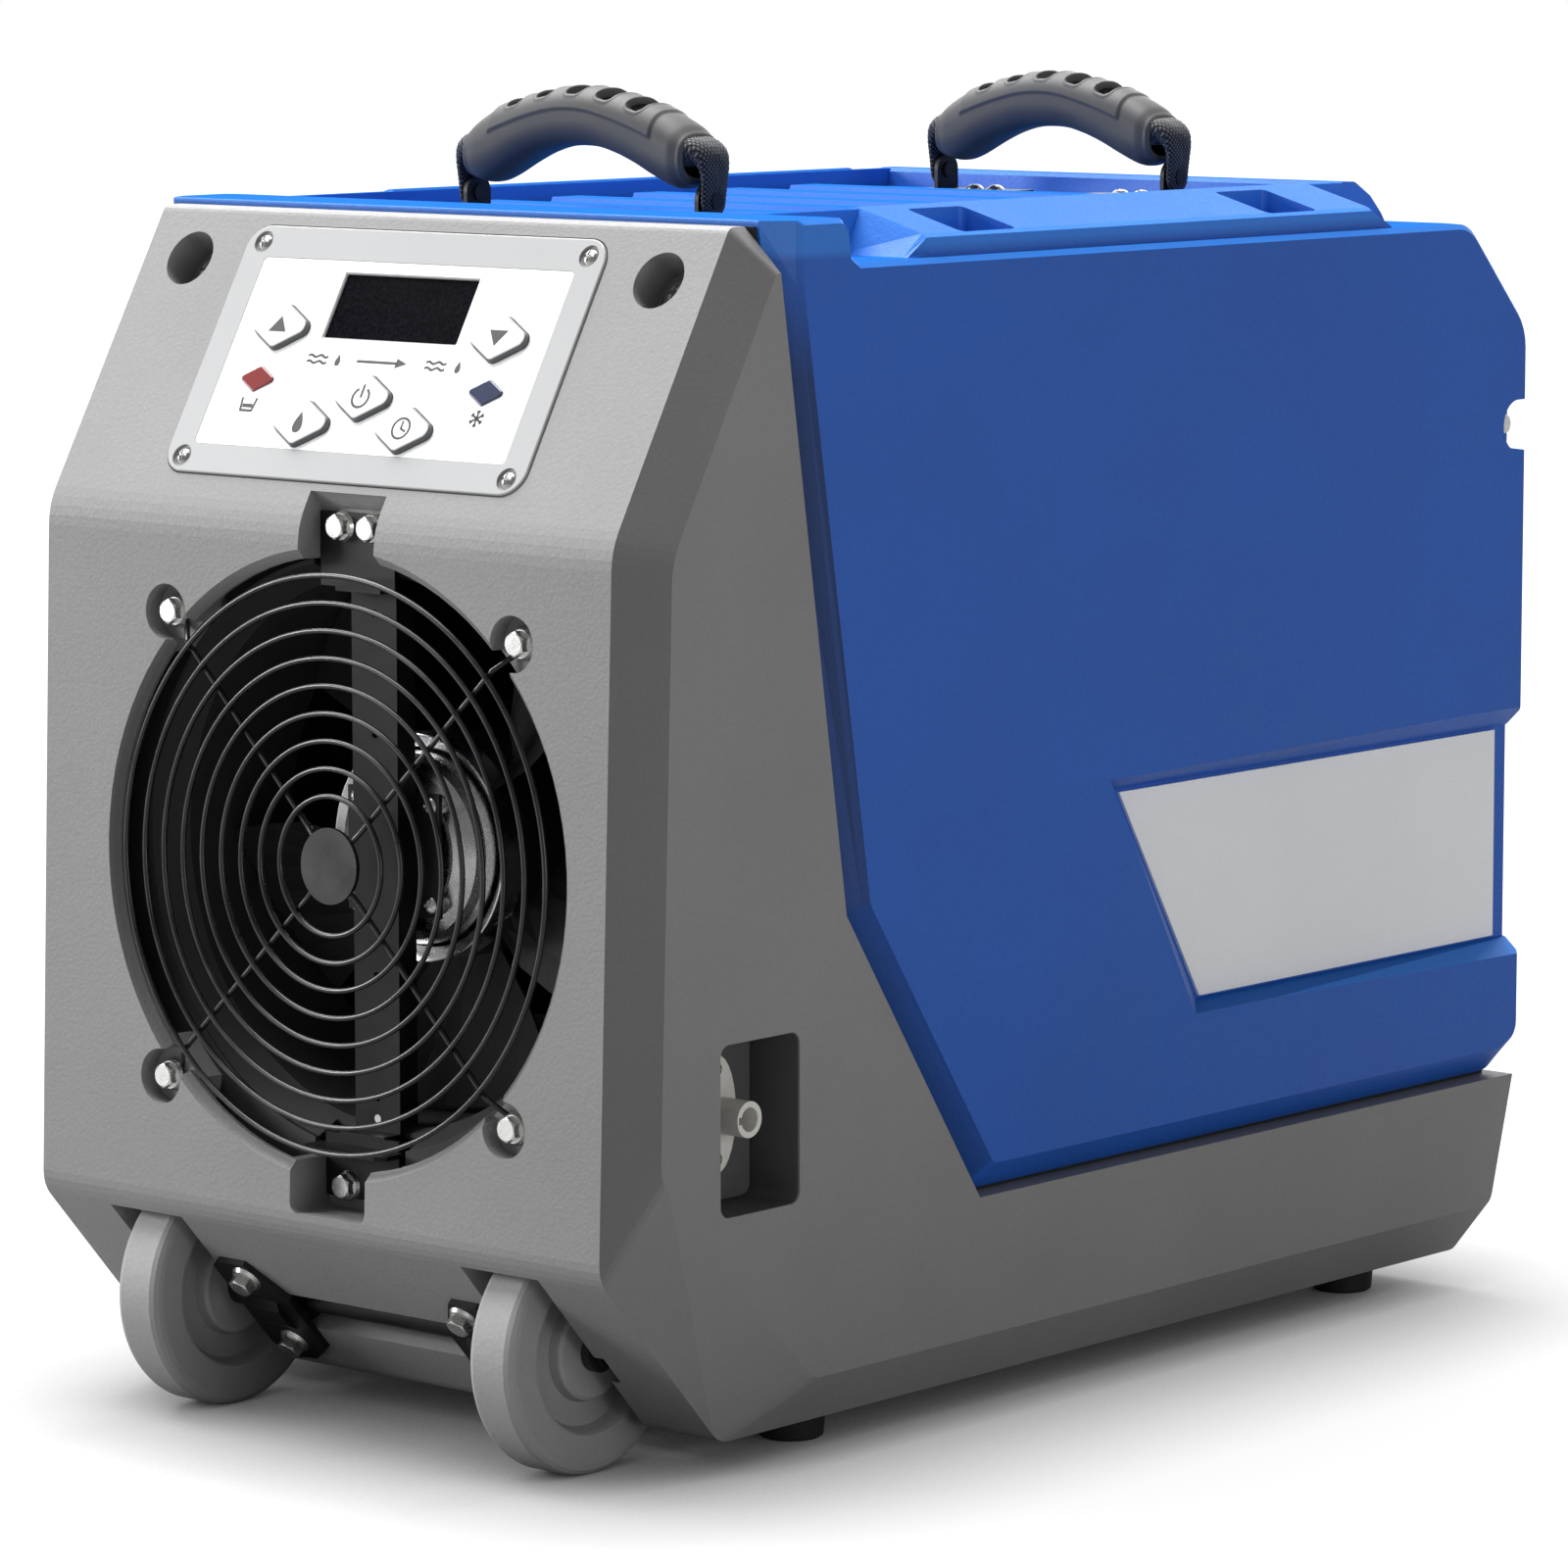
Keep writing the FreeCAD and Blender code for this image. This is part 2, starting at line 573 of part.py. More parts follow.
# ---------------------------------------------------------------------------
# top cover, gasket, badge plates and cover bolts
# ---------------------------------------------------------------------------
REAR_BAR = [(560, 258), (563.5, 282.2), (565.5, 284.2), (575.0, 284.2), (578.5, 282.8),
            (589, 277.0), (598, 268.5), (606, 258)]                     # y, z
RAIL = [(136.5, 258.0), (137.2, 282.0), (139.0, 284.4), (141.5, 284.8), (178.5, 274.3),
        (181.0, 272.6), (182.6, 266.0), (182.8, 258.0)]                 # x, z
# badge recess, (y, z): at its floor, and outside the flank
BADGE_FLOOR = [(348.0, 14.9), (700.0, 15.3), (700.0, -89.5), (411.7, -89.6)]
BADGE_MOUTH = [(323.0, 24.2), (700.0, 28.8), (700.0, -99.6), (389.8, -94.6)]
BADGE_PLATE = [(350.4, 13.6), (653.2, 14.0), (653.8, -88.2), (412.8, -88.3)]


def rail(side):
    """Side rail that drops into the ledge at both ends."""
    full = [(side * x, z) for x, z in RAIL]
    low = [(x, z if z < 266 else 264.0 + (z - 264.0) * 0.02) for x, z in full]
    stations = ((low, 190.0), (full, 203.0), (full, 537.0), (low, 552.0))
    return ruled_solid([[(x, y, z) for x, z in points] for points, y in stations])


def top_cover():
    outer = ruled_solid([cover_section(-HALF_W, COVER_FLANK),
                         cover_section(-HALF_W + 2.4, COVER_EDGE),
                         cover_section(-BEVEL_X, COVER_CROWN),
                         cover_section(BEVEL_X, COVER_CROWN),
                         cover_section(HALF_W - 2.4, COVER_EDGE),
                         cover_section(HALF_W, COVER_FLANK)])
    adds = [box(-137.5, 137.5, 139.0, 574.0, 257.0, DECK_Z)]
    # raised ribs across the deck
    for k in range(5):
        y0 = 222.0 + 58.0 * k
        adds.append(prism_x([(y0, 273.0), (y0 + 3.5, 279.4), (y0 + 22.5, 279.4),
                             (y0 + 26.0, 273.0)], -112.0, 112.0))
    adds.append(prism_x(REAR_BAR, -143.0, 143.0))
    cuts = []
    for side in SIDES:
        adds.append(box(side * 140 - 3.2, side * 140 + 3.2, 139.0, 577.0, 258, 283.8))
        adds.append(rail(side))
        for y in (249.5, 476.5):
            cuts.append(rounded_plate(side * 163.1, y, 31.4, 39.0, 3.0, 265.2, 300))
    # hollow inside
    cuts += [cavity, box(-131, 131, 150, 560, 250, 269), box(-170, 170, 103.5, 133.5, 250, 277.6)]
    cuts += flank_hollows(COVER_HOLLOW)
    for side in SIDES:
        cuts.append(ruled_solid([[(side * BADGE_X, y, z) for y, z in BADGE_FLOOR],
                                 [(side * 191.0, y, z) for y, z in BADGE_MOUTH]]))
        # rear edge notch with its bolt hole
        x0, x1 = span(side, COVER_BOLT_X, 200.0)
        cuts.append(box(x0, x1, 653.0, 680.0, 152.0, 177.0))
        cuts.append(cylinder((x0, 653.0, COVER_BOLT_Z), X_DIR, 12.5, x1 - x0))
        cuts.append(cylinder((side * 165, COVER_BOLT_Y, COVER_BOLT_Z), (side, 0, 0), 3.1, 12))
    # rear intake, then the power inlet
    cuts += [box(-OPEN_X, OPEN_X, 640, 680, OPEN_Z0, OPEN_Z1),
             rounded_plate_xz(-SEAT_X, SEAT_X, SEAT_Z0, SEAT_Z1, 8.0, SEAT_Y, 690),
             rounded_plate_xz(INLET_X - 29, INLET_X + 29, INLET_Z - 14.5, INLET_Z + 14.5,
                              4.0, SEAT_Y, 690),
             box(INLET_X - 17.5, INLET_X + 17.5, 640, 690, INLET_Z - 11.5, INLET_Z + 11.5)]
    cuts += rear_screw_holes(FRAME_SCREWS + INLET_SCREWS)
    cuts += [cylinder((x, y, 268.0), Z_DIR, 1.9, 12) for x, y in STRAP_SCREWS]
    return largest(fuse(outer, *adds).cut(cuts))


def rear_screw_holes(places):
    return [cylinder((x, 650, z), Y_DIR, 1.8, 20) for x, z in places]


def case_gasket():
    """Thin band along the joint between the two mouldings."""
    band = prism_x([JOINT_TOP, JOINT_MID, JOINT_LOW, (648.0, -156.4), (648.0, -154.6),
                    (237.0, -154.6), (143.55, -17.9), (100.25, 257.0), (96.45, 281.0)],
                   -174.5, 174.5)
    return largest(band.cut([prism_x(CAVITY, -171.5, 171.5)]))


save("top_cover", top_cover())
save("case_gasket", case_gasket())
save("badge_plates", [prism_x(BADGE_PLATE, *span(side, BADGE_X, BADGE_X + 1.5))
                      for side in SIDES])
save("cover_bolts", [flange_bolt((side * COVER_BOLT_X, COVER_BOLT_Y, COVER_BOLT_Z), (side, 0, 0),
                                 across=9.0, flange_r=6.2, head=3.8, length=7.0)
                     for side in SIDES])

# ---------------------------------------------------------------------------
# control panel
# ---------------------------------------------------------------------------
panel_holes = [diamond(x, y, BUTTON_W + 1.1, BUTTON_H + 0.66, BUTTON_CORNER + 0.1, -30, 30)
               for x, y in BUTTONS.values()]
panel_holes += [diamond(x, y, 22.9, 13.1, 1.7, -30, 30) for x, y in LAMPS.values()]


def control_panel_plate():
    plate = rounded_plate(0, PANEL_S, 215.6, 122.6, 12.0, -2.0, PANEL_FACE)
    plate = try_fillet(plate, edges_at_z(plate, PANEL_FACE), 0.8)
    cuts = [rounded_plate(0, 81.1, 186.8, 92.8, 2.5, OVERLAY_OUT, 5)] + panel_holes
    cuts.append(rounded_plate(0.0, DISPLAY_S, DISPLAY_W, DISPLAY_H, 1.0, -10, 10))
    cuts += [cylinder((x, y, -5), Z_DIR, 2.0, 10) for x, y in PANEL_SCREWS]
    cuts += [cylinder((x, y, PANEL_FACE - COUNTERBORE), Z_DIR, 5.3, 10) for x, y in PANEL_SCREWS]
    return plate.cut(cuts)


def panel_overlay():
    sheet = rounded_plate(0, 81.1, 186.4, 92.4, 2.3, OVERLAY_OUT, OVERLAY_OUT + 0.5)
    # display opening that flares outwards
    flare = []
    for grow, z in ((-0.2, -1), (1.2, 2.0)):
        flare.append([(a * (DISPLAY_W / 2 + grow), DISPLAY_S + b * (DISPLAY_H / 2 + grow), z)
                      for a, b in ((-1, -1), (1, -1), (1, 1), (-1, 1))])
    return sheet.cut([ruled_solid(flare)] + panel_holes)


def button(x, y):
    """Cap with a retaining flange and a stem behind it."""
    cap = diamond(x, y, BUTTON_W, BUTTON_H, BUTTON_CORNER, -2.2, 3.6)
    cap = try_fillet(cap, edges_at_z(cap, 3.6), 1.9)
    return fuse(cap, diamond(x, y, BUTTON_W + 3.4, BUTTON_H + 1.6, 5.0, -3.4, -2.1),
                cylinder((x, y, -9.9), Z_DIR, 2.4, 6.6))


def indicator(x, y):
    lens = diamond(x, y, 22.5, 12.8, 1.6, -1.6, 1.7)
    lens = try_fillet(lens, edges_at_z(lens, 1.7), 0.6)
    return fuse(lens, diamond(x, y, 26.0, 15.4, 2.2, -3.2, -2.05),
                diamond(x, y, 22.5, 12.8, 1.6, -2.2, -1.5))


def circuit_board():
    """Board with two blocks and two round components behind it."""
    return fuse(rounded_plate(0, 81.0, 184.0, 86.0, 3.0, -13.0, -11.4),
                box(-60, -30, 100, 116, -20, -12.9), box(20, 44, 60, 84, -23, -12.9),
                cylinder((70, 60, -28.5), Z_DIR, 6, 16), cylinder((54, 60, -28.5), Z_DIR, 6, 16))


def housing_screw(side):
    """Large screw on a conical washer."""
    seat = slope_point(side * HOUSING_SCREW_X, HOUSING_SCREW_S, -18.0)
    washer = Part.makeCone(11.6, 8.0, 3.0, seat, SLOPE_OUT)
    return fuse(washer, screw(seat + SLOPE_OUT * 2.9, SLOPE_OUT, 6.6, 4.2, 2.5, 10.0))


save("control_panel_plate", on_slope(control_panel_plate()))
save("panel_overlay", on_slope(panel_overlay()))
save("display_window", on_slope(rounded_plate(0.0, DISPLAY_S, DISPLAY_W - 0.2, DISPLAY_H - 0.2,
                                              1.0, -2.0, -0.5)))
for name, place in BUTTONS.items():
    save("button_" + name, on_slope(button(*place)))
for name, place in LAMPS.items():
    save("indicator_" + name, on_slope(indicator(*place)))
save("panel_screws", [screw(slope_point(x, y, PANEL_FACE - COUNTERBORE), SLOPE_OUT,
                            4.3, 2.1, 1.9, 10.0) for x, y in PANEL_SCREWS])
save("circuit_board", on_slope(circuit_board()))
control_box = on_slope(rounded_plate(0, 81.0, 196.0, 96.0, 6.0, -48.0, -9.1))
box_inside = on_slope(rounded_plate(0, 81.0, 190.0, 90.0, 4.0, -46.0, -5.0))
save("control_box", control_box.cut([box_inside]))
save("housing_screws", [housing_screw(side) for side in SIDES])

# ---------------------------------------------------------------------------
# fan guard
# ---------------------------------------------------------------------------
RING_Y = -0.7
SPOKE_Y = RING_Y + 2 * WIRE_R - 0.25
EYE_Y = POCKET_DEPTH - WIRE_R - 0.02
# centre line of a spoke wire (radius, y): behind the rings, then back into the pocket
SPOKE_LINE = [(12.0, RING_Y + 1.2), (22.0, SPOKE_Y), (129.5, SPOKE_Y), (139.5, EYE_Y),
              (142.6, EYE_Y)]


def fan_guard():
    guard = cylinder((0, RING_Y - 1.0, 0), Y_DIR, 16.8, 2.0)
    for k in range(4):
        angle = math.radians(45 + 90 * k)
        line = [Vec(r * math.cos(angle), y, r * math.sin(angle)) for r, y in SPOKE_LINE]
        circle = Part.Wire([Part.makeCircle(WIRE_R, line[0], line[1] - line[0])])
        guard = guard.fuse(Part.makePolygon(line).makePipeShell([circle], True, False, 1))
        eye_r = math.hypot(GUARD_BOLT, GUARD_BOLT)
        eye = Vec(eye_r * math.cos(angle), EYE_Y, eye_r * math.sin(angle))
        guard = guard.fuse(Part.makeTorus(5.0, WIRE_R, eye, Vec(0, 1, 0)))
    for k in range(RING_COUNT):
        guard = guard.fuse(Part.makeTorus(GUARD_R - RING_PITCH * k, WIRE_R,
                                          Vec(0, RING_Y, 0), Vec(0, 1, 0)))
    return guard


save("fan_guard", on_front(fan_guard()))
save("guard_bolts", [on_front(flange_bolt((sx * GUARD_BOLT, EYE_Y - WIRE_R, sz * GUARD_BOLT),
                                          (0, -1, 0), across=10.0, flange_r=7.2, head=4.6,
                                          length=10.0)) for sx, sz in CORNERS])

# ---------------------------------------------------------------------------
# fan bracket, motor, impeller, shroud
# ---------------------------------------------------------------------------
BRACKET_Y0, BRACKET_Y1 = 23.0, 25.0   # end plates
WEB_Y0, WEB_Y1 = 33.0, 35.0           # web of the channel
WEB_BACK = 44.3                       # back of the channel's side flanges
WEB_X0, WEB_X1 = FAN_X - 13.5, FAN_X + 13.5
MOTOR_PLATE = 27.5                    # half side
MOTOR_Y = WEB_BACK + 2.0              # mounting face of the motor
CAN_Y = 60.0                          # front lip of the rotor can
BLADE_COUNT = 5
MOTOR_SCREWS = [(FAN_X + a * 22.0, MOTOR_Z + b * 22.0) for a, b in CORNERS]
WEB_SCREW_Z = -113.5
# end bell and wound core (radius, y)
STATOR = [(0, MOTOR_Y + 2.0), (30.0, MOTOR_Y + 2.0), (30.6, MOTOR_Y + 3.2),
          (36.0, MOTOR_Y + 5.2), (40.0, MOTOR_Y + 8.2), (42.4, MOTOR_Y + 12.0),
          (43.0, MOTOR_Y + 16.0), (43.0, 98.0), (8.0, 98.0), (8.0, 113.0), (0, 113.0)]
# blade stations: radius, half chord along Z, half depth along Y, sweep
BLADE = [(MOTOR_R - 2.2, 15.0, 17.0, 0.0), (70.0, 27.0, 19.0, 2.0),
         (90.0, 34.0, 19.0, 6.0), (121.0, 44.0, 17.5, 13.5)]


def fan_bracket():
    """Upright channel with an end plate in each notch and a square motor plate."""
    x0, x1 = NOTCH_X0 + 0.6, NOTCH_X1 - 0.6
    y0, y1 = BRACKET_Y0, BRACKET_Y1
    body = fuse(
        box(x0, x1, y0, y1, 122.0, 154.5), box(x0, x1, y0, y1, -148.4, -121.0),
        box(WEB_X0, WEB_X1, y0, WEB_Y1, 120.0, 122.5),
        box(WEB_X0, WEB_X1, y0, WEB_Y1, -121.5, -119.0),
        box(WEB_X0, WEB_X1, WEB_Y0, WEB_Y1, -121.5, 122.5),
        box(WEB_X0, WEB_X0 + 2, WEB_Y0, WEB_BACK, -116.0, 118.0),
        box(WEB_X1 - 2, WEB_X1, WEB_Y0, WEB_BACK, -116.0, 118.0),
        box(FAN_X - MOTOR_PLATE, FAN_X + MOTOR_PLATE, WEB_BACK, MOTOR_Y,
            MOTOR_Z - MOTOR_PLATE, MOTOR_Z + MOTOR_PLATE),
        # lip running forwards from the lower plate
        prism_z([(x0 - 3, y0 - 0.1), (x1 + 3, y0 - 0.1), (x1 + 3, 12.5), (x1 - 1.5, 8.5),
                 (x0 + 1.5, 8.5), (x0 - 3, 12.5)], -126.6, -124.6),
        box(x0, x1, y0 - 0.1, y1, -126.6, -120.0))
    holes = [cylinder((x, 20, z), Y_DIR, 2.0, 40) for x, z in MOTOR_SCREWS]
    holes += [cylinder((FAN_X, 20, z), Y_DIR, 1.8, 20) for z in (-104, -50, 57, 110)]
    holes += [cylinder((FAN_X, 20, WEB_SCREW_Z), Y_DIR, 2.0, 20)]
    holes += [cylinder((x, 20, z), Y_DIR, 3.1, 20) for x, z in BRACKET_BOLTS]
    return body.cut(holes)


def fan_cylinder(radius, y0, y1):
    return cylinder((FAN_X, y0, MOTOR_Z), Y_DIR, radius, y1 - y0)


def fan_cone(front_r, back_r, y0, depth):
    return Part.makeCone(front_r, back_r, depth, Vec(FAN_X, y0, MOTOR_Z), Vec(0, 1, 0))


def fan_motor_stator():
    stator = revolved([(FAN_X + r, y, MOTOR_Z) for r, y in STATOR],
                      (FAN_X, 0, MOTOR_Z), Y_DIR)
    pads = [cylinder((x, MOTOR_Y, z), Y_DIR, 4.6, 6.0) for x, z in MOTOR_SCREWS]
    stator = fuse(stator, fan_cylinder(24.0, MOTOR_Y, MOTOR_Y + 2.1), *pads)
    return stator.cut([cylinder((x, 25, z), Y_DIR, 2.0, 40) for x, z in MOTOR_SCREWS])


def fan_blade(index):
    sections = []
    steps = 6
    for r, half_chord, half_depth, sweep in BLADE:
        back, front = [], []
        for i in range(steps + 1):
            t = -1 + 2 * i / steps
            camber = 5.0 * (1 - t * t)
            z = MOTOR_Z + (half_chord * t + sweep)
            y = 83.0 + half_depth * t + camber
            half_t = 1.5 * (1 - 0.6 * abs(t))
            back.append((FAN_X + r, y + half_t, z))
            front.append((FAN_X + r, y - half_t, z))
        sections.append(back + front[::-1])
    blade = ruled_solid(sections)
    blade.rotate(Vec(FAN_X, 0, MOTOR_Z), Vec(0, 1, 0), 360.0 / BLADE_COUNT * index + 20)
    return blade.common(fan_cylinder(BLADE_R, 40, 130)).cut([fan_cylinder(MOTOR_R - 1.5, 40, 130)])


def fan_impeller():
    """Rotor can with a flared front mouth, carrying the blades."""
    can = fan_cylinder(MOTOR_R, CAN_Y, 112.0)
    can = can.cut([fan_cylinder(MOTOR_R - 3.0, CAN_Y + 7.0, 108.0),
                   fan_cylinder(8.0 + RUN, 50, 120),
                   fan_cone(50.2, 44.6, CAN_Y - 0.01, 5.0),
                   fan_cylinder(44.6, CAN_Y + 4.9, CAN_Y + 7.1)])
    rim = [e for e in can.Edges if abs(e.CenterOfMass.y - CAN_Y) < 0.02
           and abs(e.Length - 2 * math.pi * MOTOR_R) < 1]
    can = try_fillet(can, rim, 0.5)
    return can.fuse([fan_blade(k) for k in range(BLADE_COUNT)])


def fan_shroud():
    """Leaning plate behind the outlet with a tapered bell round the blades."""
    plate = on_front(box(-149.0, 149.0, 20.5, 23.5, -137.0, 137.0))
    bell = fan_cone(132.0, 124.0, 24.0, 16.0).fuse(fan_cylinder(124.0, 39.9, 106.0))
    inside = fan_cone(130.0, 122.0, 24.0, 16.0).fuse([fan_cylinder(122.0, 39.9, 107.0),
                                                      fan_cylinder(130.0, 10.0, 24.05)])
    shroud = plate.fuse(bell).cut([inside])
    cuts = [box(NOTCH_X0 - 4.6, NOTCH_X1 + 4.6, 0, 36.0, z, z + 70) for z in (110, -180)]
    cuts += [on_front(cylinder((sx * GUARD_BOLT, 15, sz * GUARD_BOLT), Y_DIR, 3.2, 15))
             for sx, sz in CORNERS]
    return largest(shroud.cut(cuts))


save("fan_bracket", fan_bracket())
save("bracket_bolts", [flange_bolt((x, BRACKET_Y0, z), (0, -1, 0), across=9.8, flange_r=6.8,
                                   head=4.4, length=12.0) for x, z in BRACKET_BOLTS])
save("fan_motor_stator", fan_motor_stator())
save("motor_screws", [screw((x, WEB_BACK, z), (0, -1, 0), 3.8, 2.2, 1.9, 12.0)
                      for x, z in MOTOR_SCREWS]
     + [screw((FAN_X, WEB_Y0, WEB_SCREW_Z), (0, -1, 0), 4.0, 2.2, 1.9, 6.0)])
save("fan_impeller", fan_impeller())
save("fan_shroud", fan_shroud())

# ---------------------------------------------------------------------------
# running gear
# ---------------------------------------------------------------------------
# half of the wheel section (x from its inner face, radius)
WHEEL_HALF = [(0.8, AXLE_R + RUN), (0.8, 20.5), (2.0, 22.0), (6.5, 23.4), (7.0, 34.0),
              (2.2, 36.0), (0.4, 37.2), (0, 38.5), (0, 50.0), (0.5, 52.4), (1.9, 54.1),
              (4.0, WHEEL_R)]
WHEEL = WHEEL_HALF + [(WHEEL_W - x, r) for x, r in WHEEL_HALF[::-1]]
# axle bracket plate (x, down the slant)
AXLE_PLATE = [(48.6, 56.0), (63.0, 33.5), (79.0, 33.5), (83.6, 37.0), (83.6, 92.0),
              (78.0, 102.0), (60.0, 100.0), (48.6, 91.0)]


def wheel(side):
    return revolved([(side * x + side * WHEEL_IN, WHEEL_Y, WHEEL_Z + r) for x, r in WHEEL],
                    (side * WHEEL_IN, WHEEL_Y, WHEEL_Z), X_DIR)


def on_axle(x, direction, radius, length):
    """Cylinder on the axle line from x, running along plus or minus X."""
    return cylinder((x, WHEEL_Y, WHEEL_Z), (direction, 0, 0), radius, length)


def axle_bracket(side):
    plate = polygon_face([slant_point(side * x, s, 0.02) for x, s in AXLE_PLATE])
    plate = plate.extrude(SLANT_OUT * 3.0)
    saddle = on_axle(side * 52.0, side, CHANNEL_R - 0.3, 30.0)
    saddle = saddle.fuse(slant_box(*span(side, 52.0, 82.0), CHANNEL_S - 8.6, CHANNEL_S + 8.6,
                                   -CHANNEL_DEPTH, 0.1))
    bump = slant_prism([(CHANNEL_S - 10, 2.9), (CHANNEL_S - 5, 5.6), (CHANNEL_S + 5, 5.6),
                        (CHANNEL_S + 10, 2.9)], side * 58.0, side * 76.0)
    body = fuse(plate, saddle, bump)
    return largest(body.cut([on_axle(side * 40, side, AXLE_R + 0.01, 60)]
                            + [slant_bolt_hole(side * AXLE_BOLT_X, s) for s in AXLE_BOLT_S]))


def rubber_foot(x, y):
    """Tapered foot with a chamfered sole and a stem up into the case."""
    foot = Part.makeCone(FOOT_R - 1.0, FOOT_R + 0.5, (BOTTOM_Z - FLOOR_Z) - 1.0,
                         Vec(x, y, FLOOR_Z + 1.0), Vec(0, 0, 1))
    sole = Part.makeCone(FOOT_R - 2.4, FOOT_R - 1.0, 1.0, Vec(x, y, FLOOR_Z), Vec(0, 0, 1))
    return fuse(foot, sole, cylinder((x, y, BOTTOM_Z - 1), Z_DIR, 2.5, 9.0))


save("wheel_right", wheel(1))
save("wheel_left", wheel(-1))
# shoulders keep each wheel clear of the well
save("wheel_axle", fuse(on_axle(-128.5, 1, AXLE_R, 257.0), on_axle(87.0, 1, 8.6, 8.4),
                        on_axle(-95.4, 1, 8.6, 8.4)))
save("axle_clips", [on_axle(side * 120.4, side, 9.2, 4.2)
                    .cut([on_axle(side * 119, side, AXLE_R, 10)]) for side in SIDES])
save("axle_brackets", [axle_bracket(side) for side in SIDES])
save("axle_bolts", [flange_bolt(slant_point(x, s, 3.02), SLANT_OUT, across=10.0, flange_r=7.4,
                                head=5.2, length=16.0) for x, s in AXLE_BOLTS])
save("rubber_feet", [rubber_foot(x, y) for x, y in FEET])

# ---------------------------------------------------------------------------
# carry handles: webbing loop through a moulded grip, drawn about Y = 0
# ---------------------------------------------------------------------------
# strap centre line from the right end to the middle: x, z, half width
STRAP_HALF = [(STRAP_X, PIVOT_Z, 7.6), (73.2, 295.0, 8.2), (72.6, 300.5, 9.2),
              (70.2, 304.6, 10.6), (66.0, 306.6, 11.4), (60.5, 308.4, 11.6),
              (51.0, 311.6, 11.6), (38.0, 315.6, 11.6), (22.0, 319.4, 11.6),
              (8.0, 321.4, 11.6), (0.0, 321.8, 11.6)]
STRAP_PATH = STRAP_HALF + [(-x, z, w) for x, z, w in STRAP_HALF[-2::-1]]
# grip outlines (x, z) and the stations at which they are sampled
GRIP_TOP = [(-66.0, 314.0), (-61.9, 318.6), (-49.7, 325.5), (-25.6, 331.4), (-3.0, 334.6),
            (21.8, 331.6), (45.2, 326.0), (59.6, 320.2), (66.0, 314.4)]
GRIP_LOW = [(-66.0, 294.4), (-57.2, 291.4), (-49.9, 293.4), (-25.7, 303.9), (-1.9, 309.2),
            (21.7, 305.1), (45.1, 296.4), (57.9, 291.4), (66.0, 294.6)]
GRIP_X = [-66.0, -62.0, -57.0, -49.8, -40.0, -32.0, -25.6, -14.0, -3.0,
          8.0, 21.8, 30.0, 38.0, 45.2, 52.0, 58.6, 63.0, 66.0]


def strap_solid(grow):
    """Six-sided band along the strap path, grown all round."""
    sections = []
    for i, (x, z, half_w) in enumerate(STRAP_PATH):
        xa, za = STRAP_PATH[max(i - 1, 0)][:2]
        xb, zb = STRAP_PATH[min(i + 1, len(STRAP_PATH) - 1)][:2]
        along = Vec(xb - xa, 0, zb - za)
        along.normalize()
        offset = Vec(-along.z, 0, along.x) * (STRAP_T / 2 + grow)
        a, b = Vec(x, 0, z) + offset, Vec(x, 0, z) - offset
        w = half_w + grow
        flat = w - 0.9
        sections.append([(a.x, -flat, a.z), (a.x, flat, a.z), (x, w, z),
                         (b.x, flat, b.z), (b.x, -flat, b.z), (x, -w, z)])
    return ruled_solid(sections)


def interpolate(table, x):
    if x <= table[0][0]:
        return table[0][1]
    for (xa, za), (xb, zb) in zip(table[:-1], table[1:]):
        if x <= xb:
            return za + (zb - za) * (x - xa) / (xb - xa)
    return table[-1][1]


def handle_grip():
    sections = []
    power = 0.72                 # below 1 squares the oval section
    for x in GRIP_X:
        top, low = interpolate(GRIP_TOP, x), interpolate(GRIP_LOW, x)
        middle, half_h = (top + low) / 2, (top - low) / 2
        half_w = 15.6 if abs(x) < 60 else 15.6 - 1.6 * (abs(x) - 60) / 6
        points = []
        for k in range(20):
            angle = 2 * math.pi * (k + 0.5) / 20
            c, s = math.cos(angle), math.sin(angle)
            points.append((x, half_w * math.copysign(abs(c) ** power, c),
                           middle + half_h * math.copysign(abs(s) ** power, s)))
        sections.append(points)
    # slots across the crown, then the strap tunnel
    cuts = []
    for x in (-36.5, -18.5, -0.5, 17.5, 35.5):
        top = interpolate(GRIP_TOP, x)
        cuts.append(rounded_plate(x, 0, 8.0, 20.0, 3.8, top - 4.6, top + 8.0))
    cuts.append(strap_solid(0.15))
    return largest(ruled_solid(sections).cut(cuts))


def handle_strap():
    strap = strap_solid(0.0)
    for side in SIDES:
        strap = strap.fuse(cylinder((side * STRAP_X - STRAP_T / 2, 0, PIVOT_Z), X_DIR,
                                    7.6, STRAP_T))
    strap = strap.removeSplitter()
    return strap.cut([cylinder((-90, 0, PIVOT_Z), X_DIR, PIN_R + RUN, 180)])


def strap_plate(side, y):
    """Plate screwed to the deck with an upright lug for the pin."""
    base = rounded_plate(side * 49.5, y, 57.0, 18.0, 1.5, DECK_Z, DECK_Z + 2.0)
    lug = box(*span(side, 68.8, 71.0), y - 8, y + 8, DECK_Z, PIVOT_Z)
    lug = lug.fuse(cylinder((side * 68.8, y, PIVOT_Z), (side, 0, 0), 8.0, 2.2))
    return fuse(base, lug).cut([cylinder((side * 60, y, PIVOT_Z), (side, 0, 0), PIN_R, 20)]
                               + [cylinder((side * x, y, 260), Z_DIR, 1.9, 30)
                                  for x in PLATE_SCREW_X])


def strap_rivet(side, y):
    # x start, radius, length of the pin and its two heads
    pieces = [cylinder((side * x, y, PIVOT_Z), (side, 0, 0), radius, length)
              for x, radius, length in ((67.6, PIN_R, 8.0), (67.6, 3.8, 1.2), (74.8, 3.8, 0.9))]
    return fuse(*pieces)


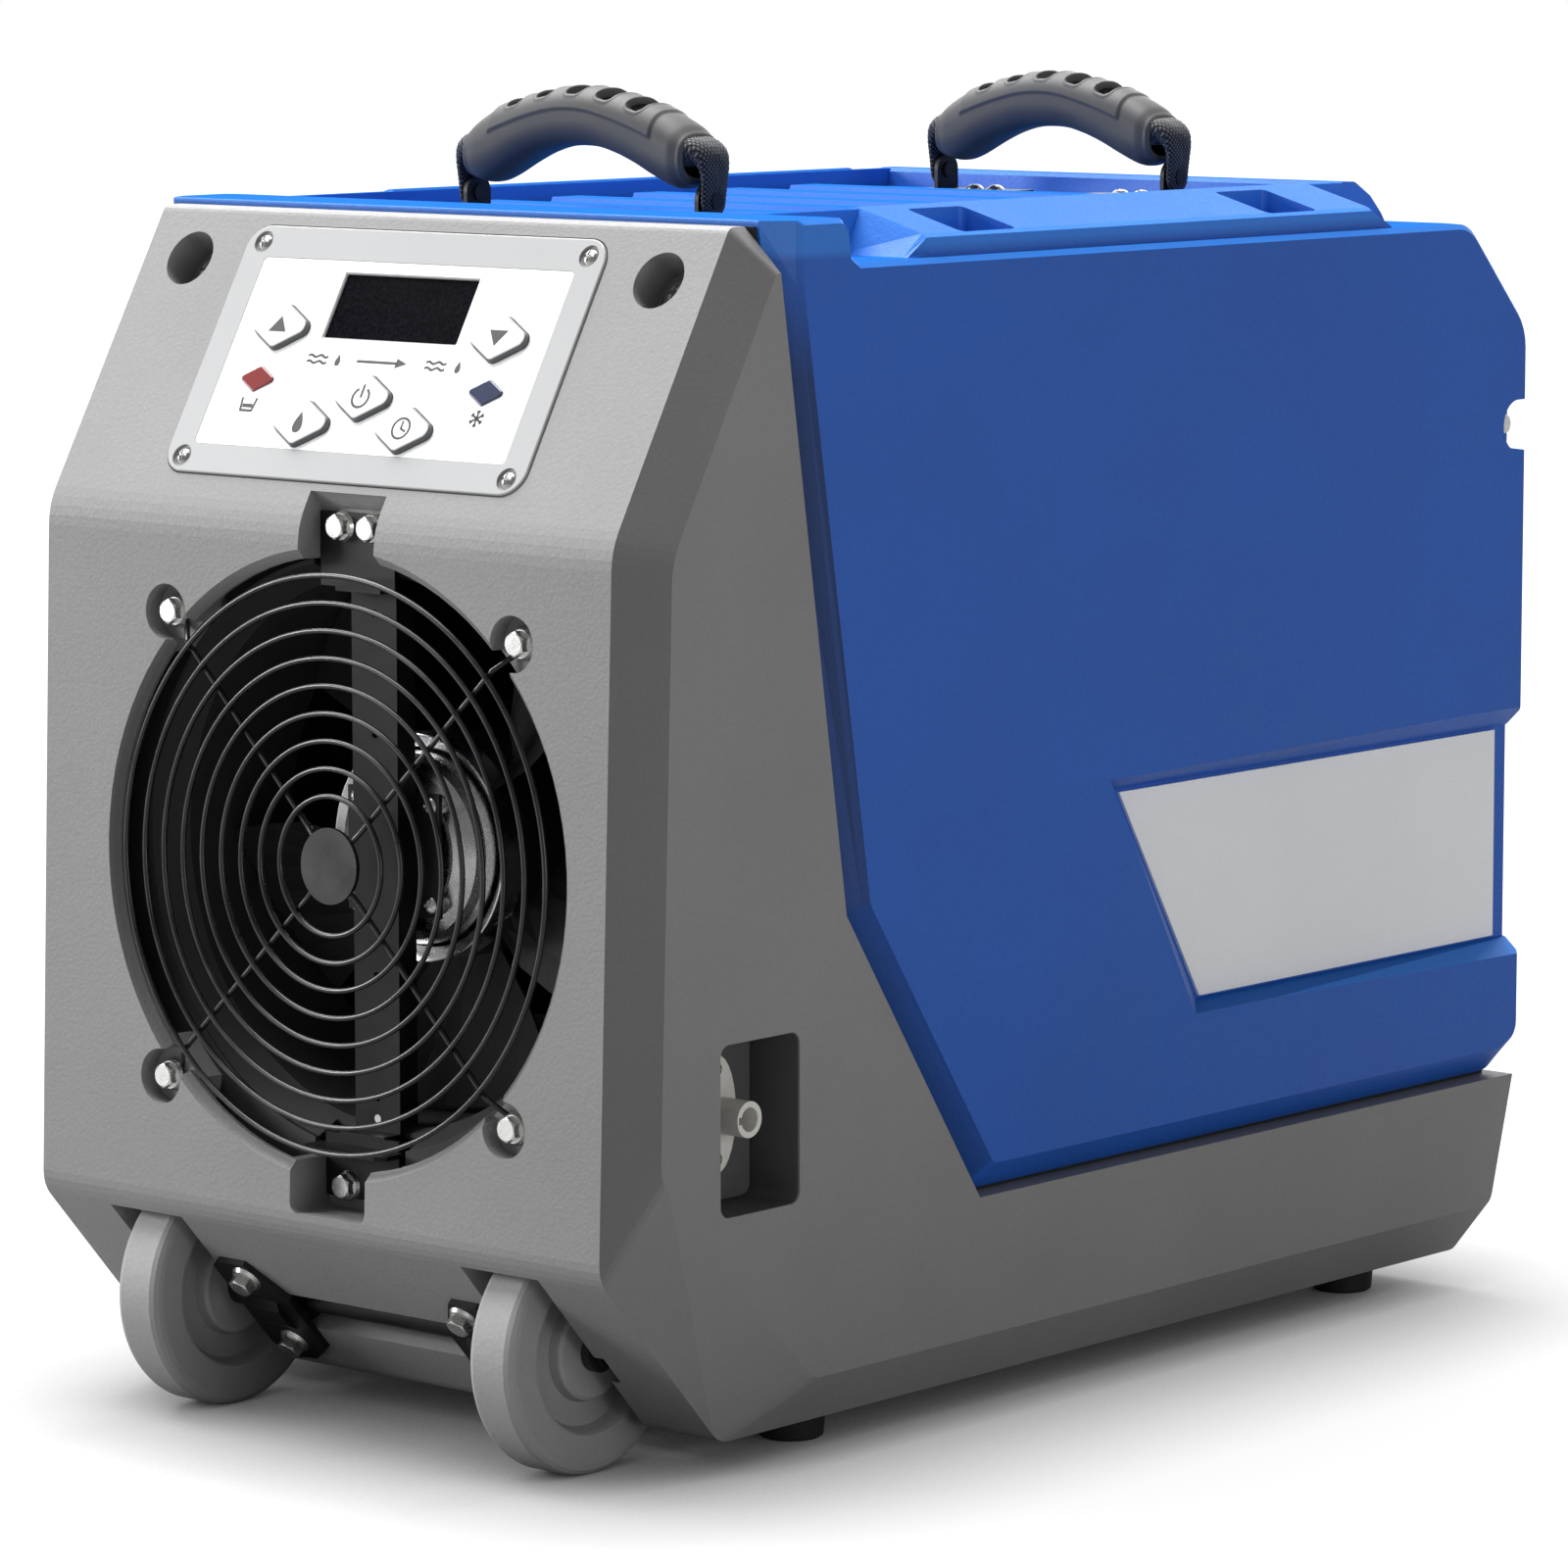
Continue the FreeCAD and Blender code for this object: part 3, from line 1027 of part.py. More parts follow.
grip = handle_grip()
strap = handle_strap()
for name, y in zip(("front", "rear"), HANDLE_Y):
    for piece, shape in (("strap", strap), ("grip", grip)):
        shape = shape.copy()
        shape.translate(Vec(0, y, 0))
        save("handle_%s_%s" % (piece, name), shape)
save("strap_plates", [strap_plate(side, y) for y in HANDLE_Y for side in SIDES])
save("strap_rivets", [strap_rivet(side, y) for y in HANDLE_Y for side in SIDES])
save("strap_screws", [screw((x, y, DECK_Z + 2.0), Z_DIR, 4.4, 2.4, 1.8, 8.0)
                      for x, y in STRAP_SCREWS])


# ---------------------------------------------------------------------------
# drain outlet
# ---------------------------------------------------------------------------
def on_drain(x, radius, length):
    return cylinder((x, DRAIN_Y, DRAIN_Z), X_DIR, radius, length)


flange_screw_holes = [cylinder((150, DRAIN_Y, DRAIN_Z + k * FLANGE_SCREW), X_DIR, 1.6, 20)
                      for k in SIDES]


def drain_plate():
    plate = rounded_plate_yz(POCKET_Y0 + 1.0, POCKET_Y1 - 1.0, POCKET_Z0 + 1.0,
                             POCKET_Z1 - 1.0, 4.5, POCKET_X, POCKET_X + 2.0)
    return plate.cut([on_drain(140, 9.2, 40)] + flange_screw_holes
                     + [cylinder((150, DRAIN_SCREW_Y, z), X_DIR, 1.6, 20)
                        for z in DRAIN_SCREW_Z])


def drain_fitting():
    """Oval flange with a stepped tube through it."""
    angles = [2 * math.pi * k / 28 for k in range(28)]
    flange = ruled_solid([[(POCKET_X + 2.0 + h, DRAIN_Y + 12.5 * math.cos(a),
                            DRAIN_Z + 26.0 * math.sin(a)) for a in angles]
                          for h in (0.0, 3.0)])
    tube = on_drain(140, 8.0, 41.0)
    tube = tube.fuse([on_drain(128, 6.0, 12.5), on_drain(POCKET_X + 4.9, 10.0, 2.2)])
    slot = box(172, 190, DRAIN_Y - 7.0, DRAIN_Y, DRAIN_Z - 1.6, DRAIN_Z + 1.6)
    return fuse(flange, tube).cut([on_drain(120, 3.6, 80), on_drain(170, 5.4, 20), slot]
                                  + flange_screw_holes)


save("drain_plate", drain_plate())
save("drain_fitting", drain_fitting())
save("drain_screws",
     [screw((POCKET_X + 5.0, DRAIN_Y, DRAIN_Z + k * FLANGE_SCREW), X_DIR, 3.2, 1.8, 1.5, 8.0)
      for k in SIDES]
     + [screw((POCKET_X + 2.0, DRAIN_SCREW_Y, z), X_DIR, 3.2, 1.8, 1.5, 5.0)
        for z in DRAIN_SCREW_Z])

# ---------------------------------------------------------------------------
# rear frame, filter, power inlet
# ---------------------------------------------------------------------------
CASSETTE_X, CASSETTE_Z0, CASSETTE_Z1 = OPEN_X - 3.8, OPEN_Z0 + 3.8, OPEN_Z1 - 3.8
PLEATS = 26


def opening_box(inset, y0, y1):
    """Box filling the intake opening less an inset all round."""
    return box(-OPEN_X + inset, OPEN_X - inset, y0, y1, OPEN_Z0 + inset, OPEN_Z1 - inset)


def intake_frame():
    """Seat plate and sleeve with a grille across the front of the sleeve."""
    frame = rounded_plate_xz(-SEAT_X + 0.4, SEAT_X - 0.4, SEAT_Z0 + 0.4, SEAT_Z1 - 0.4, 7.6,
                             SEAT_Y, SEAT_Y + 1.6)
    frame = frame.fuse(opening_box(0.3, 626.0, SEAT_Y + 0.1))
    frame = frame.cut([opening_box(3.3, 634.0, 690), opening_box(12, 600, 640)])
    bars = []
    for k in range(13):
        z = OPEN_Z0 + 12 + 17.6 * (k + 1)
        bars.append(box(-OPEN_X + 11, OPEN_X - 11, 627.0, 632.0, z - 1.4, z + 1.4))
    bars += [box(x - 1.6, x + 1.6, 627.0, 631.0, OPEN_Z0 + 11, OPEN_Z1 - 11)
             for x in (-59, 0, 59)]
    return fuse(frame, *bars).cut(rear_screw_holes(FRAME_SCREWS))


def inlet_box(half_x, half_z, y0, y1, dx=0.0, dz=0.0):
    x, z = INLET_X + dx, INLET_Z + dz
    return box(x - half_x, x + half_x, y0, y1, z - half_z, z + half_z)


def power_inlet():
    inlet = rounded_plate_xz(INLET_X - 28.6, INLET_X + 28.6, INLET_Z - 14.1, INLET_Z + 14.1,
                             3.6, SEAT_Y, SEAT_Y + 1.6)
    inlet = inlet.fuse(inlet_box(17.2, 11.2, 636, SEAT_Y + 0.1))
    inlet = inlet.cut([inlet_box(12.5, 8.5, 646, 690)] + rear_screw_holes(INLET_SCREWS))
    return fuse(inlet, *[inlet_box(1.0, 2.2, 640, 658, dx, dz)
                         for dx, dz in ((-7, -2), (0, 2), (7, -2))])


def filter_cassette():
    """Frame with a cross of bars and a slotted pad at its middle."""
    x, z0, z1 = CASSETTE_X, CASSETTE_Z0, CASSETTE_Z1
    frame = box(-x, x, 635.0, 659.5, z0, z1)
    frame = frame.cut([box(-x + 12, x - 12, 600, 690, z0 + 12, z1 - 12)])
    frame = fuse(frame, box(-4, 4, 656.2, 659.5, z0 + 11, z1 - 11),
                 box(-x + 11, x - 11, 656.2, 659.5, 51.0, 59.0),
                 rounded_plate_xz(-24, 24, 36, 74, 6.0, 656.2, 659.5))
    return frame.cut([rounded_plate_xz(-15, 15, 47, 63, 7.5, 650, 690)])


def filter_media():
    """Zigzag sheet 1.6 thick along Y."""
    pitch = (2 * CASSETTE_X - 24.4) / PLEATS
    front = [(-CASSETTE_X + 12.2 + pitch * k / 2, 638.0 if k % 2 == 0 else 653.5)
             for k in range(PLEATS * 2 + 1)]
    back = [(x, y + 1.6) for x, y in front]
    return prism_z(front + back[::-1], CASSETTE_Z0 + 12.2, CASSETTE_Z1 - 12.2)


save("intake_frame", intake_frame())
save("power_inlet", power_inlet())
save("rear_screws", [screw((x, SEAT_Y + 1.6, z), Y_DIR, 3.6, 1.7, 1.7, 7.0)
                     for x, z in FRAME_SCREWS + INLET_SCREWS])
save("filter_cassette", filter_cassette())
save("filter_media", filter_media())

# ---------------------------------------------------------------------------
# works inside
# ---------------------------------------------------------------------------
BASE_Z = TUB_Z + 2.0             # top of the base plate
COMP_X, COMP_Y, COMP_R = -44.0, 235.0, 56.0
FOOT_ANGLES = [90 + 120 * k for k in range(3)]
COMP_FEET = [(COMP_X + 66 * math.cos(math.radians(a)), COMP_Y + 66 * math.sin(math.radians(a)))
             for a in FOOT_ANGLES]
COIL_Z0, COIL_Z1 = -172.9, 205.0
COIL_ROWS = 14
ROW_PITCH = (COIL_Z1 - COIL_Z0 - 48)
ROW_Z = [COIL_Z0 + 26 + k * ROW_PITCH / (COIL_ROWS - 1) for k in range(COIL_ROWS)]
TUBE_R = 4.8
CONDENSER_Y, EVAPORATOR_Y = 392.0, 450.0
PUMP_X, PUMP_Y = 96, 180         # pump spigot


def upright(x, y, height, radius, length):
    """Vertical cylinder starting at a height above the base plate."""
    return cylinder((x, y, BASE_Z + height), Z_DIR, radius, length)


def base_plate():
    return fuse(box(-118, 118, 138, 612, TUB_Z, BASE_Z),
                box(-118, -116, 138, 612, TUB_Z, TUB_Z + 14),
                box(116, 118, 138, 612, TUB_Z, TUB_Z + 14))


def compressor():
    """Domed can with a seam band, two stubs and three feet."""
    body = upright(COMP_X, COMP_Y, 20, COMP_R, 125.0)
    dome = Part.makeSphere(80, Vec(COMP_X, COMP_Y, BASE_Z + 145 - 57))
    body = body.fuse(dome.common(upright(COMP_X, COMP_Y, 140, COMP_R, 60)))
    body = body.fuse([upright(COMP_X, COMP_Y, 80, 58.0, 4.0),
                      upright(COMP_X - 20, COMP_Y, 150, 6.0, 28.0),
                      upright(COMP_X + 24, COMP_Y, 150, 5.0, 24.0)])
    feet = []
    for angle, (x, y) in zip(FOOT_ANGLES, COMP_FEET):
        arm = box(COMP_X, COMP_X + 66, COMP_Y - 9, COMP_Y + 9, BASE_Z + 16, BASE_Z + 20.5)
        arm.rotate(Vec(COMP_X, COMP_Y, 0), Vec(0, 0, 1), angle)
        feet += [arm, upright(x, y, 16, 13.0, 4.5)]
    return fuse(body, *feet).cut([upright(x, y, 10, 5.0, 15) for x, y in COMP_FEET])


def grommet(x, y):
    body = upright(x, y, 0, 11.0, 16.0).fuse(upright(x, y, 15.9, 4.9, 6.0))
    return body.cut([upright(x, y, -1, 3.2, 40)])


def drain_pan():
    """Shallow tray on four posts."""
    pan = box(-150, 150, 356, 496, -176, -157).cut([box(-147, 147, 359, 493, -173, -100)])
    return fuse(pan, *[upright(x, y, 0, 9.0, -176.0 - BASE_Z + 0.05)
                       for x in (-105, 105) for y in (370, 482)])


def coil(middle):
    """Fin block with return bends standing out of both ends."""
    y0, y1 = middle - 20.0, middle + 20.0
    core = box(-128, 128, y0, y1, COIL_Z0, COIL_Z1)
    for y in (y0, y1):
        core = core.cut(box(-129, 129, y - 0.8, y + 0.8, COIL_Z0 + 6, COIL_Z1 - 6))
    for side, first in ((1, 0), (-1, 1)):
        bent = set()
        for i in range(first, COIL_ROWS - 1, 2):
            z0, z1 = ROW_Z[i], ROW_Z[i + 1]
            centre = Vec(side * 134, middle, (z0 + z1) / 2)
            circle = Part.makeCircle(TUBE_R, Vec(side * 134, middle, z0), Vec(1, 0, 0))
            bend = Part.Face(Part.Wire([circle])).revolve(centre, Vec(0, 1, 0), -180 * side)
            bend = outward(bend)
            for z in (z0, z1):
                bend = bend.fuse(cylinder((side * 127.0, middle, z), (side, 0, 0), TUBE_R, 7.0))
                bent.add(z)
            core = core.fuse(bend)
        # rows without a bend end in straight stubs
        for z in ROW_Z:
            if z not in bent:
                core = core.fuse(cylinder((side * 127.0, middle, z), (side, 0, 0), TUBE_R, 12.0))
    return core


def coil_end_plate(side):
    x0, x1 = span(side, 128.0, 129.6)
    plate = box(x0, x1, 364, 478, COIL_Z0, COIL_Z1 + 2)
    return plate.cut([cylinder((x0 - 2, y, z), X_DIR, TUBE_R, 6)
                      for y in (CONDENSER_Y, EVAPORATOR_Y) for z in ROW_Z])


def refrigerant_lines():
    x1, x2 = COMP_X - 20, COMP_X + 24
    return [pipe([(x1, COMP_Y, BASE_Z + 178.0), (x1, COMP_Y, 60), (x1, 371.95, 60)], 5.0),
            pipe([(x2, COMP_Y, BASE_Z + 174.0), (x2, COMP_Y, 222), (x2, EVAPORATOR_Y, 222),
                  (x2, EVAPORATOR_Y, COIL_Z1 + 0.05)], 5.0),
            cylinder((-90, 412.05, -100), Y_DIR, 3.0, 17.9)]


def condensate_pump():
    """Block with rounded upright edges, a motor and a spigot on top."""
    body = box(38, 112, 160, 270, BASE_Z, BASE_Z + 70)
    uprights = [e for e in body.Edges
                if abs(e.Vertexes[0].Point.z - e.Vertexes[-1].Point.z) > 50]
    body = try_fillet(body, uprights, 8.0)
    return body.fuse([upright(75, 215, 69.9, 24.0, 34.0), upright(PUMP_X, PUMP_Y, 69.9, 5.0, 12.0)])


save("base_plate", base_plate())
save("compressor", compressor())
save("compressor_grommets", [grommet(x, y) for x, y in COMP_FEET])
save("compressor_bolts", [flange_bolt((x, y, BASE_Z + 21.9), Z_DIR, across=9.0, flange_r=7.0,
                                      head=4.0, length=21.8) for x, y in COMP_FEET])
save("drain_pan", drain_pan())
save("condenser_coil", coil(CONDENSER_Y))
save("evaporator_coil", coil(EVAPORATOR_Y))
save("coil_end_plates", [coil_end_plate(side) for side in SIDES])
save("refrigerant_lines", refrigerant_lines())
save("condensate_pump", condensate_pump())
save("drain_hose", pipe([(PUMP_X, PUMP_Y, BASE_Z + 81.92), (PUMP_X, PUMP_Y, -118),
                         (112, 120, DRAIN_Z), (112, DRAIN_Y, DRAIN_Z),
                         (128.0, DRAIN_Y, DRAIN_Z)], 5.0))
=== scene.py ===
"""Portable dehumidifier: grey front housing, blue top cover, control slope and two strap handles.

Row frame: metres, X across, front towards -Y, Z up, floor at z = 0. The handles and the
printing are laid out in the drawing's millimetres, with y = 0 at the front edge and z = 0 at
fan height; place() turns those into the row frame.
"""
import bpy, bmesh, math
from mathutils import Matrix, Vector

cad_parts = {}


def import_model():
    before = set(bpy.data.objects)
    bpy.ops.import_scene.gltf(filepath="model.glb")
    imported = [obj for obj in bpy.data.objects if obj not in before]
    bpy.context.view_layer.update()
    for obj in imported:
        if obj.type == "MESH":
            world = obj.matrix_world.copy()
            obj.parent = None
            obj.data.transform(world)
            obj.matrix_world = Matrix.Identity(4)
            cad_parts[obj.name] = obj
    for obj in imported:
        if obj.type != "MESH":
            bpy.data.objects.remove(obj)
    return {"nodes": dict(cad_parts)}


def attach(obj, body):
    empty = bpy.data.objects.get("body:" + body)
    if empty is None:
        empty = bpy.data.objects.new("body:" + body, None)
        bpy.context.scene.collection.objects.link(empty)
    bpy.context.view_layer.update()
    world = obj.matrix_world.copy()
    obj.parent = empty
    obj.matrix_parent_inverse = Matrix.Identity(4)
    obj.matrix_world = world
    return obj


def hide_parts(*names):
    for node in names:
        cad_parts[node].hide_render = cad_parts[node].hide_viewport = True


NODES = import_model()["nodes"]
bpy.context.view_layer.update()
DATUM_Y, DATUM_Z = -0.3308, 0.2600      # drawing origin in the row frame


def place(x, y, z):
    """Drawing millimetres to row frame metres."""
    return Vector((x / 1000.0, y / 1000.0 + DATUM_Y, z / 1000.0 + DATUM_Z))


# Control slope: its lower front point, the direction up it and the outward normal.
SLOPE_FOOT = Vector((0, 9.6, 149.2))
SLOPE_HEAD = Vector((0, 85.1, 281.0))
SLOPE_UP = (SLOPE_HEAD - SLOPE_FOOT).normalized()
SLOPE_NORMAL = Vector((1, 0, 0)).cross(SLOPE_UP).normalized()

# ---------------------------------------------------------------------------
# material tools
# ---------------------------------------------------------------------------
SHADER_INPUTS = {
    "color": "Base Color", "rough": "Roughness", "metal": "Metallic", "normal": "Normal",
    "spec": "Specular IOR Level", "coat": "Coat Weight", "sheen": "Sheen Weight",
    "sheen_rough": "Sheen Roughness", "sss": "Subsurface Weight",
    "emit": "Emission Color", "emit_strength": "Emission Strength"}
MIDTONES = (0.3, 0.7)       # the part of a noise pattern's range that is spread out
BLACK = (0.0, 0.0, 0.0)


class Mat:
    """A material under construction; every method returns an output socket."""

    def __init__(self, name):
        self.material = bpy.data.materials.new(name)
        self.material.use_nodes = True
        self.tree = self.material.node_tree
        self.tree.nodes.clear()
        output = self.node("ShaderNodeOutputMaterial")
        self.shader = self.node("ShaderNodeBsdfPrincipled")
        self.link(self.shader.outputs[0], output.inputs[0])
        self.coords = self.node("ShaderNodeTexCoord").outputs["Object"]

    def node(self, kind, **settings):
        node = self.tree.nodes.new(kind)
        for key, value in settings.items():
            setattr(node, key, value)
        return node

    def link(self, source, target):
        self.tree.links.new(source, target)

    def put(self, socket, value):
        """Set a socket to a number or colour, or link another socket to it."""
        if isinstance(value, (int, float)):
            socket.default_value = value
        elif isinstance(value, tuple):
            socket.default_value = value + (1.0,)
        else:
            self.link(value, socket)

    def noise(self, scale, detail=3.0, rough=0.5, stretch=None):
        vector = self.coords
        if stretch:
            mapping = self.node("ShaderNodeMapping")
            mapping.inputs["Scale"].default_value = stretch
            self.link(self.coords, mapping.inputs[0])
            vector = mapping.outputs[0]
        node = self.node("ShaderNodeTexNoise")
        node.inputs["Scale"].default_value = scale
        node.inputs["Detail"].default_value = detail
        node.inputs["Roughness"].default_value = rough
        self.link(vector, node.inputs["Vector"])
        return node.outputs["Fac"]

    def cells(self, scale, smooth=None):
        """Voronoi distance, with rounded cells where `smooth` is given."""
        feature = "SMOOTH_F1" if smooth else "F1"
        node = self.node("ShaderNodeTexVoronoi", feature=feature)
        node.inputs["Scale"].default_value = scale
        if smooth:
            node.inputs["Smoothness"].default_value = smooth
        self.link(self.coords, node.inputs["Vector"])
        return node.outputs["Distance"]

    def math(self, operation, first, second=None):
        node = self.node("ShaderNodeMath", operation=operation)
        self.put(node.inputs[0], first)
        if second is not None:
            self.put(node.inputs[1], second)
        return node.outputs[0]

    def multiply(self, first, second):
        return self.math("MULTIPLY", first, second)

    def add(self, first, second):
        return self.math("ADD", first, second)

    def invert(self, value):
        return self.math("SUBTRACT", 1.0, value)

    def between(self, value, span, datum=0.0):
        """1 where value lies inside the span, which is measured from the datum."""
        return self.multiply(self.math("GREATER_THAN", value, datum + span[0]),
                             self.math("LESS_THAN", value, datum + span[1]))

    def remap(self, value, source, target=(0.0, 1.0)):
        node = self.node("ShaderNodeMapRange")
        self.link(value, node.inputs[0])
        for i, limit in enumerate(source + target):
            node.inputs[i + 1].default_value = limit
        return node.outputs[0]

    def ramp(self, value, stops):
        node = self.node("ShaderNodeValToRGB")
        self.link(value, node.inputs[0])
        elements = node.color_ramp.elements
        for element, (position, color) in ((elements[0], stops[0]), (elements[1], stops[-1])):
            element.position = position
            element.color = color + (1,)
        for position, color in stops[1:-1]:
            elements.new(position).color = color + (1,)
        return node.outputs[0]

    def mix(self, factor, under, over):
        node = self.node("ShaderNodeMix", data_type="RGBA", blend_type="MIX")
        self.put(node.inputs[0], factor)
        self.put(node.inputs[6], under)
        self.put(node.inputs[7], over)
        return node.outputs[2]

    def layer(self, mask, under, over, amount):
        """Lay a colour over another where the mask is set, at part strength."""
        return self.mix(self.multiply(mask, amount), under, over)

    def split(self, vector):
        node = self.node("ShaderNodeSeparateXYZ")
        self.link(vector, node.inputs[0])
        return tuple(node.outputs)

    def position(self):
        return self.split(self.coords)

    def normal(self):
        return self.split(self.node("ShaderNodeNewGeometry").outputs["Normal"])

    def bump(self, height, strength, distance):
        node = self.node("ShaderNodeBump")
        node.inputs["Strength"].default_value = strength
        node.inputs["Distance"].default_value = distance
        self.link(height, node.inputs["Height"])
        return node.outputs[0]

    def surface(self, **values):
        """Fill in the shader's inputs and return the finished material."""
        for key, value in values.items():
            self.put(self.shader.inputs[SHADER_INPUTS[key]], value)
        return self.material


def shade(color, gain, lift=0.0):
    return tuple(min(1.0, channel * gain + lift) for channel in color)


def srgb(*color):
    """8-bit display colour to linear."""
    def linear(value):
        return value / 12.92 if value <= 0.04045 else ((value + 0.055) / 1.055) ** 2.4
    return tuple(linear(channel / 255.0) for channel in color)


def use(material, *pieces):
    """Make this the only material on the named CAD pieces."""
    for piece in pieces:
        slots = NODES[piece].data.materials
        slots.clear()
        slots.append(material)


# ---------------------------------------------------------------------------
# masks, painted light and painted shade on the two large mouldings
# ---------------------------------------------------------------------------
def hollow(mat, abs_x, y, z, half_width, y_span, z_span):
    """1 inside a box centred on x = 0, its spans measured from the drawing datum."""
    section = mat.multiply(mat.between(y, y_span, DATUM_Y), mat.between(z, z_span, DATUM_Z))
    return mat.multiply(section, mat.math("LESS_THAN", abs_x, half_width))


def grey_hollow_shade(mat):
    """The hollow in the housing, whose inner walls get painted shade, leaving out the low front
    pocket on the +X side.
    """
    x, y, z = mat.position()
    abs_x = mat.math("ABSOLUTE", x)
    core = hollow(mat, abs_x, y, z, half_width=0.1722,
                  y_span=(0.034, 0.66), z_span=(-0.136, 0.185))
    low_front = mat.multiply(mat.math("LESS_THAN", y, DATUM_Y + 0.117),
                             mat.math("LESS_THAN", z, DATUM_Z - 0.055))
    pocket = mat.multiply(mat.math("GREATER_THAN", x, 0.150), low_front)
    return mat.multiply(core, mat.invert(pocket))


def blue_hollow_shade(mat):
    """The hollow in the cover, whose inner walls get painted shade, with its wider part at the
    sides.
    """
    x, y, z = mat.position()
    abs_x = mat.math("ABSOLUTE", x)
    core = hollow(mat, abs_x, y, z, half_width=0.1715,
                  y_span=(0.09, 0.6576), z_span=(-0.158, 0.2586))
    side = hollow(mat, abs_x, y, z, half_width=0.1815,
                  y_span=(0.15, 0.60), z_span=(0.0455, 0.2465))
    return mat.math("MAXIMUM", core, side)


def slope_height(mat, span):
    """0 to 1 over a span of metres measured outwards from the control slope."""
    _, y, z = mat.position()
    foot = place(*SLOPE_FOOT)
    height = mat.add(mat.multiply(mat.math("SUBTRACT", y, foot.y), SLOPE_NORMAL.y),
                     mat.multiply(mat.math("SUBTRACT", z, foot.z), SLOPE_NORMAL.z))
    return mat.remap(height, span)


def grey_painted_shade(mat, color, spec):
    """Painted shade: darker on the angled cheeks, a little on the front slope, dark in the +X
    front pocket.
    """
    normal_x, normal_y, normal_z = mat.normal()
    x, y, z = mat.position()
    # painted shade on the angled cheeks and, more lightly, on the front slope
    cheek_shade = mat.multiply(mat.remap(mat.math("ABSOLUTE", normal_x), (0.25, 0.55)),
                         mat.remap(normal_y, (-0.25, -0.5)))
    color = mat.layer(cheek_shade, color, BLACK, amount=0.36)
    slope = mat.multiply(mat.remap(normal_z, (0.30, 0.45)),
                         mat.remap(normal_y, (-0.55, -0.75)))
    color = mat.layer(slope, color, BLACK, amount=0.03)
    # painted shade in the +X front pocket
    pocket_section = mat.multiply(mat.between(y, (0.0572, 0.1111), DATUM_Y),
                                  mat.between(z, (-0.1408, -0.0641), DATUM_Z))
    pocket = mat.multiply(mat.between(x, (0.1500, 0.1862)), pocket_section)
    return mat.layer(pocket, color, BLACK, amount=0.66), spec


def blue_painted_light(mat, color, spec):
    """Painted light and shade: a duller level deck, a painted highlight on slopes and the top
    edge away from -X, painted shadow on the step facing the front.
    """
    deck_shade_blue = (0.014, 0.100, 0.365)
    slope_highlight_blue = (0.024, 0.170, 0.610)
    step_shadow_blue = (0.0, 0.004, 0.012)
    normal_x, normal_y, normal_z = mat.normal()
    _, _, z = mat.position()
    upward = mat.remap(normal_z, (0.30, 0.55))
    level = mat.remap(normal_z, (0.90, 0.98))
    slope = mat.multiply(upward, mat.invert(level))
    top_band = mat.remap(z, (DATUM_Z + 0.266, DATUM_Z + 0.270), (0.0, 0.95))
    top_edge_highlight = mat.multiply(top_band, mat.invert(level))
    away = mat.remap(normal_x, (-0.15, 0.15))
    # painted light and shade: the level deck a darker blue, the slopes and top edge away from -X
    # a paler blue as painted highlight
    color = mat.layer(level, color, deck_shade_blue, amount=0.9)
    color = mat.layer(away, color, slope_highlight_blue, amount=mat.math("MAXIMUM", slope, top_edge_highlight))
    # painted shadow on the step facing the front
    step = mat.multiply(mat.remap(normal_y, (-0.35, -0.7)),
                        mat.remap(z, (DATUM_Z + 0.215, DATUM_Z + 0.262), (1.0, 0.0)))
    color = mat.layer(step, color, step_shadow_blue, amount=0.74)
    # no highlight on the deck, a weak one on the slopes
    return color, mat.multiply(mat.invert(level), mat.remap(upward, (0.0, 1.0), (spec, 0.12)))


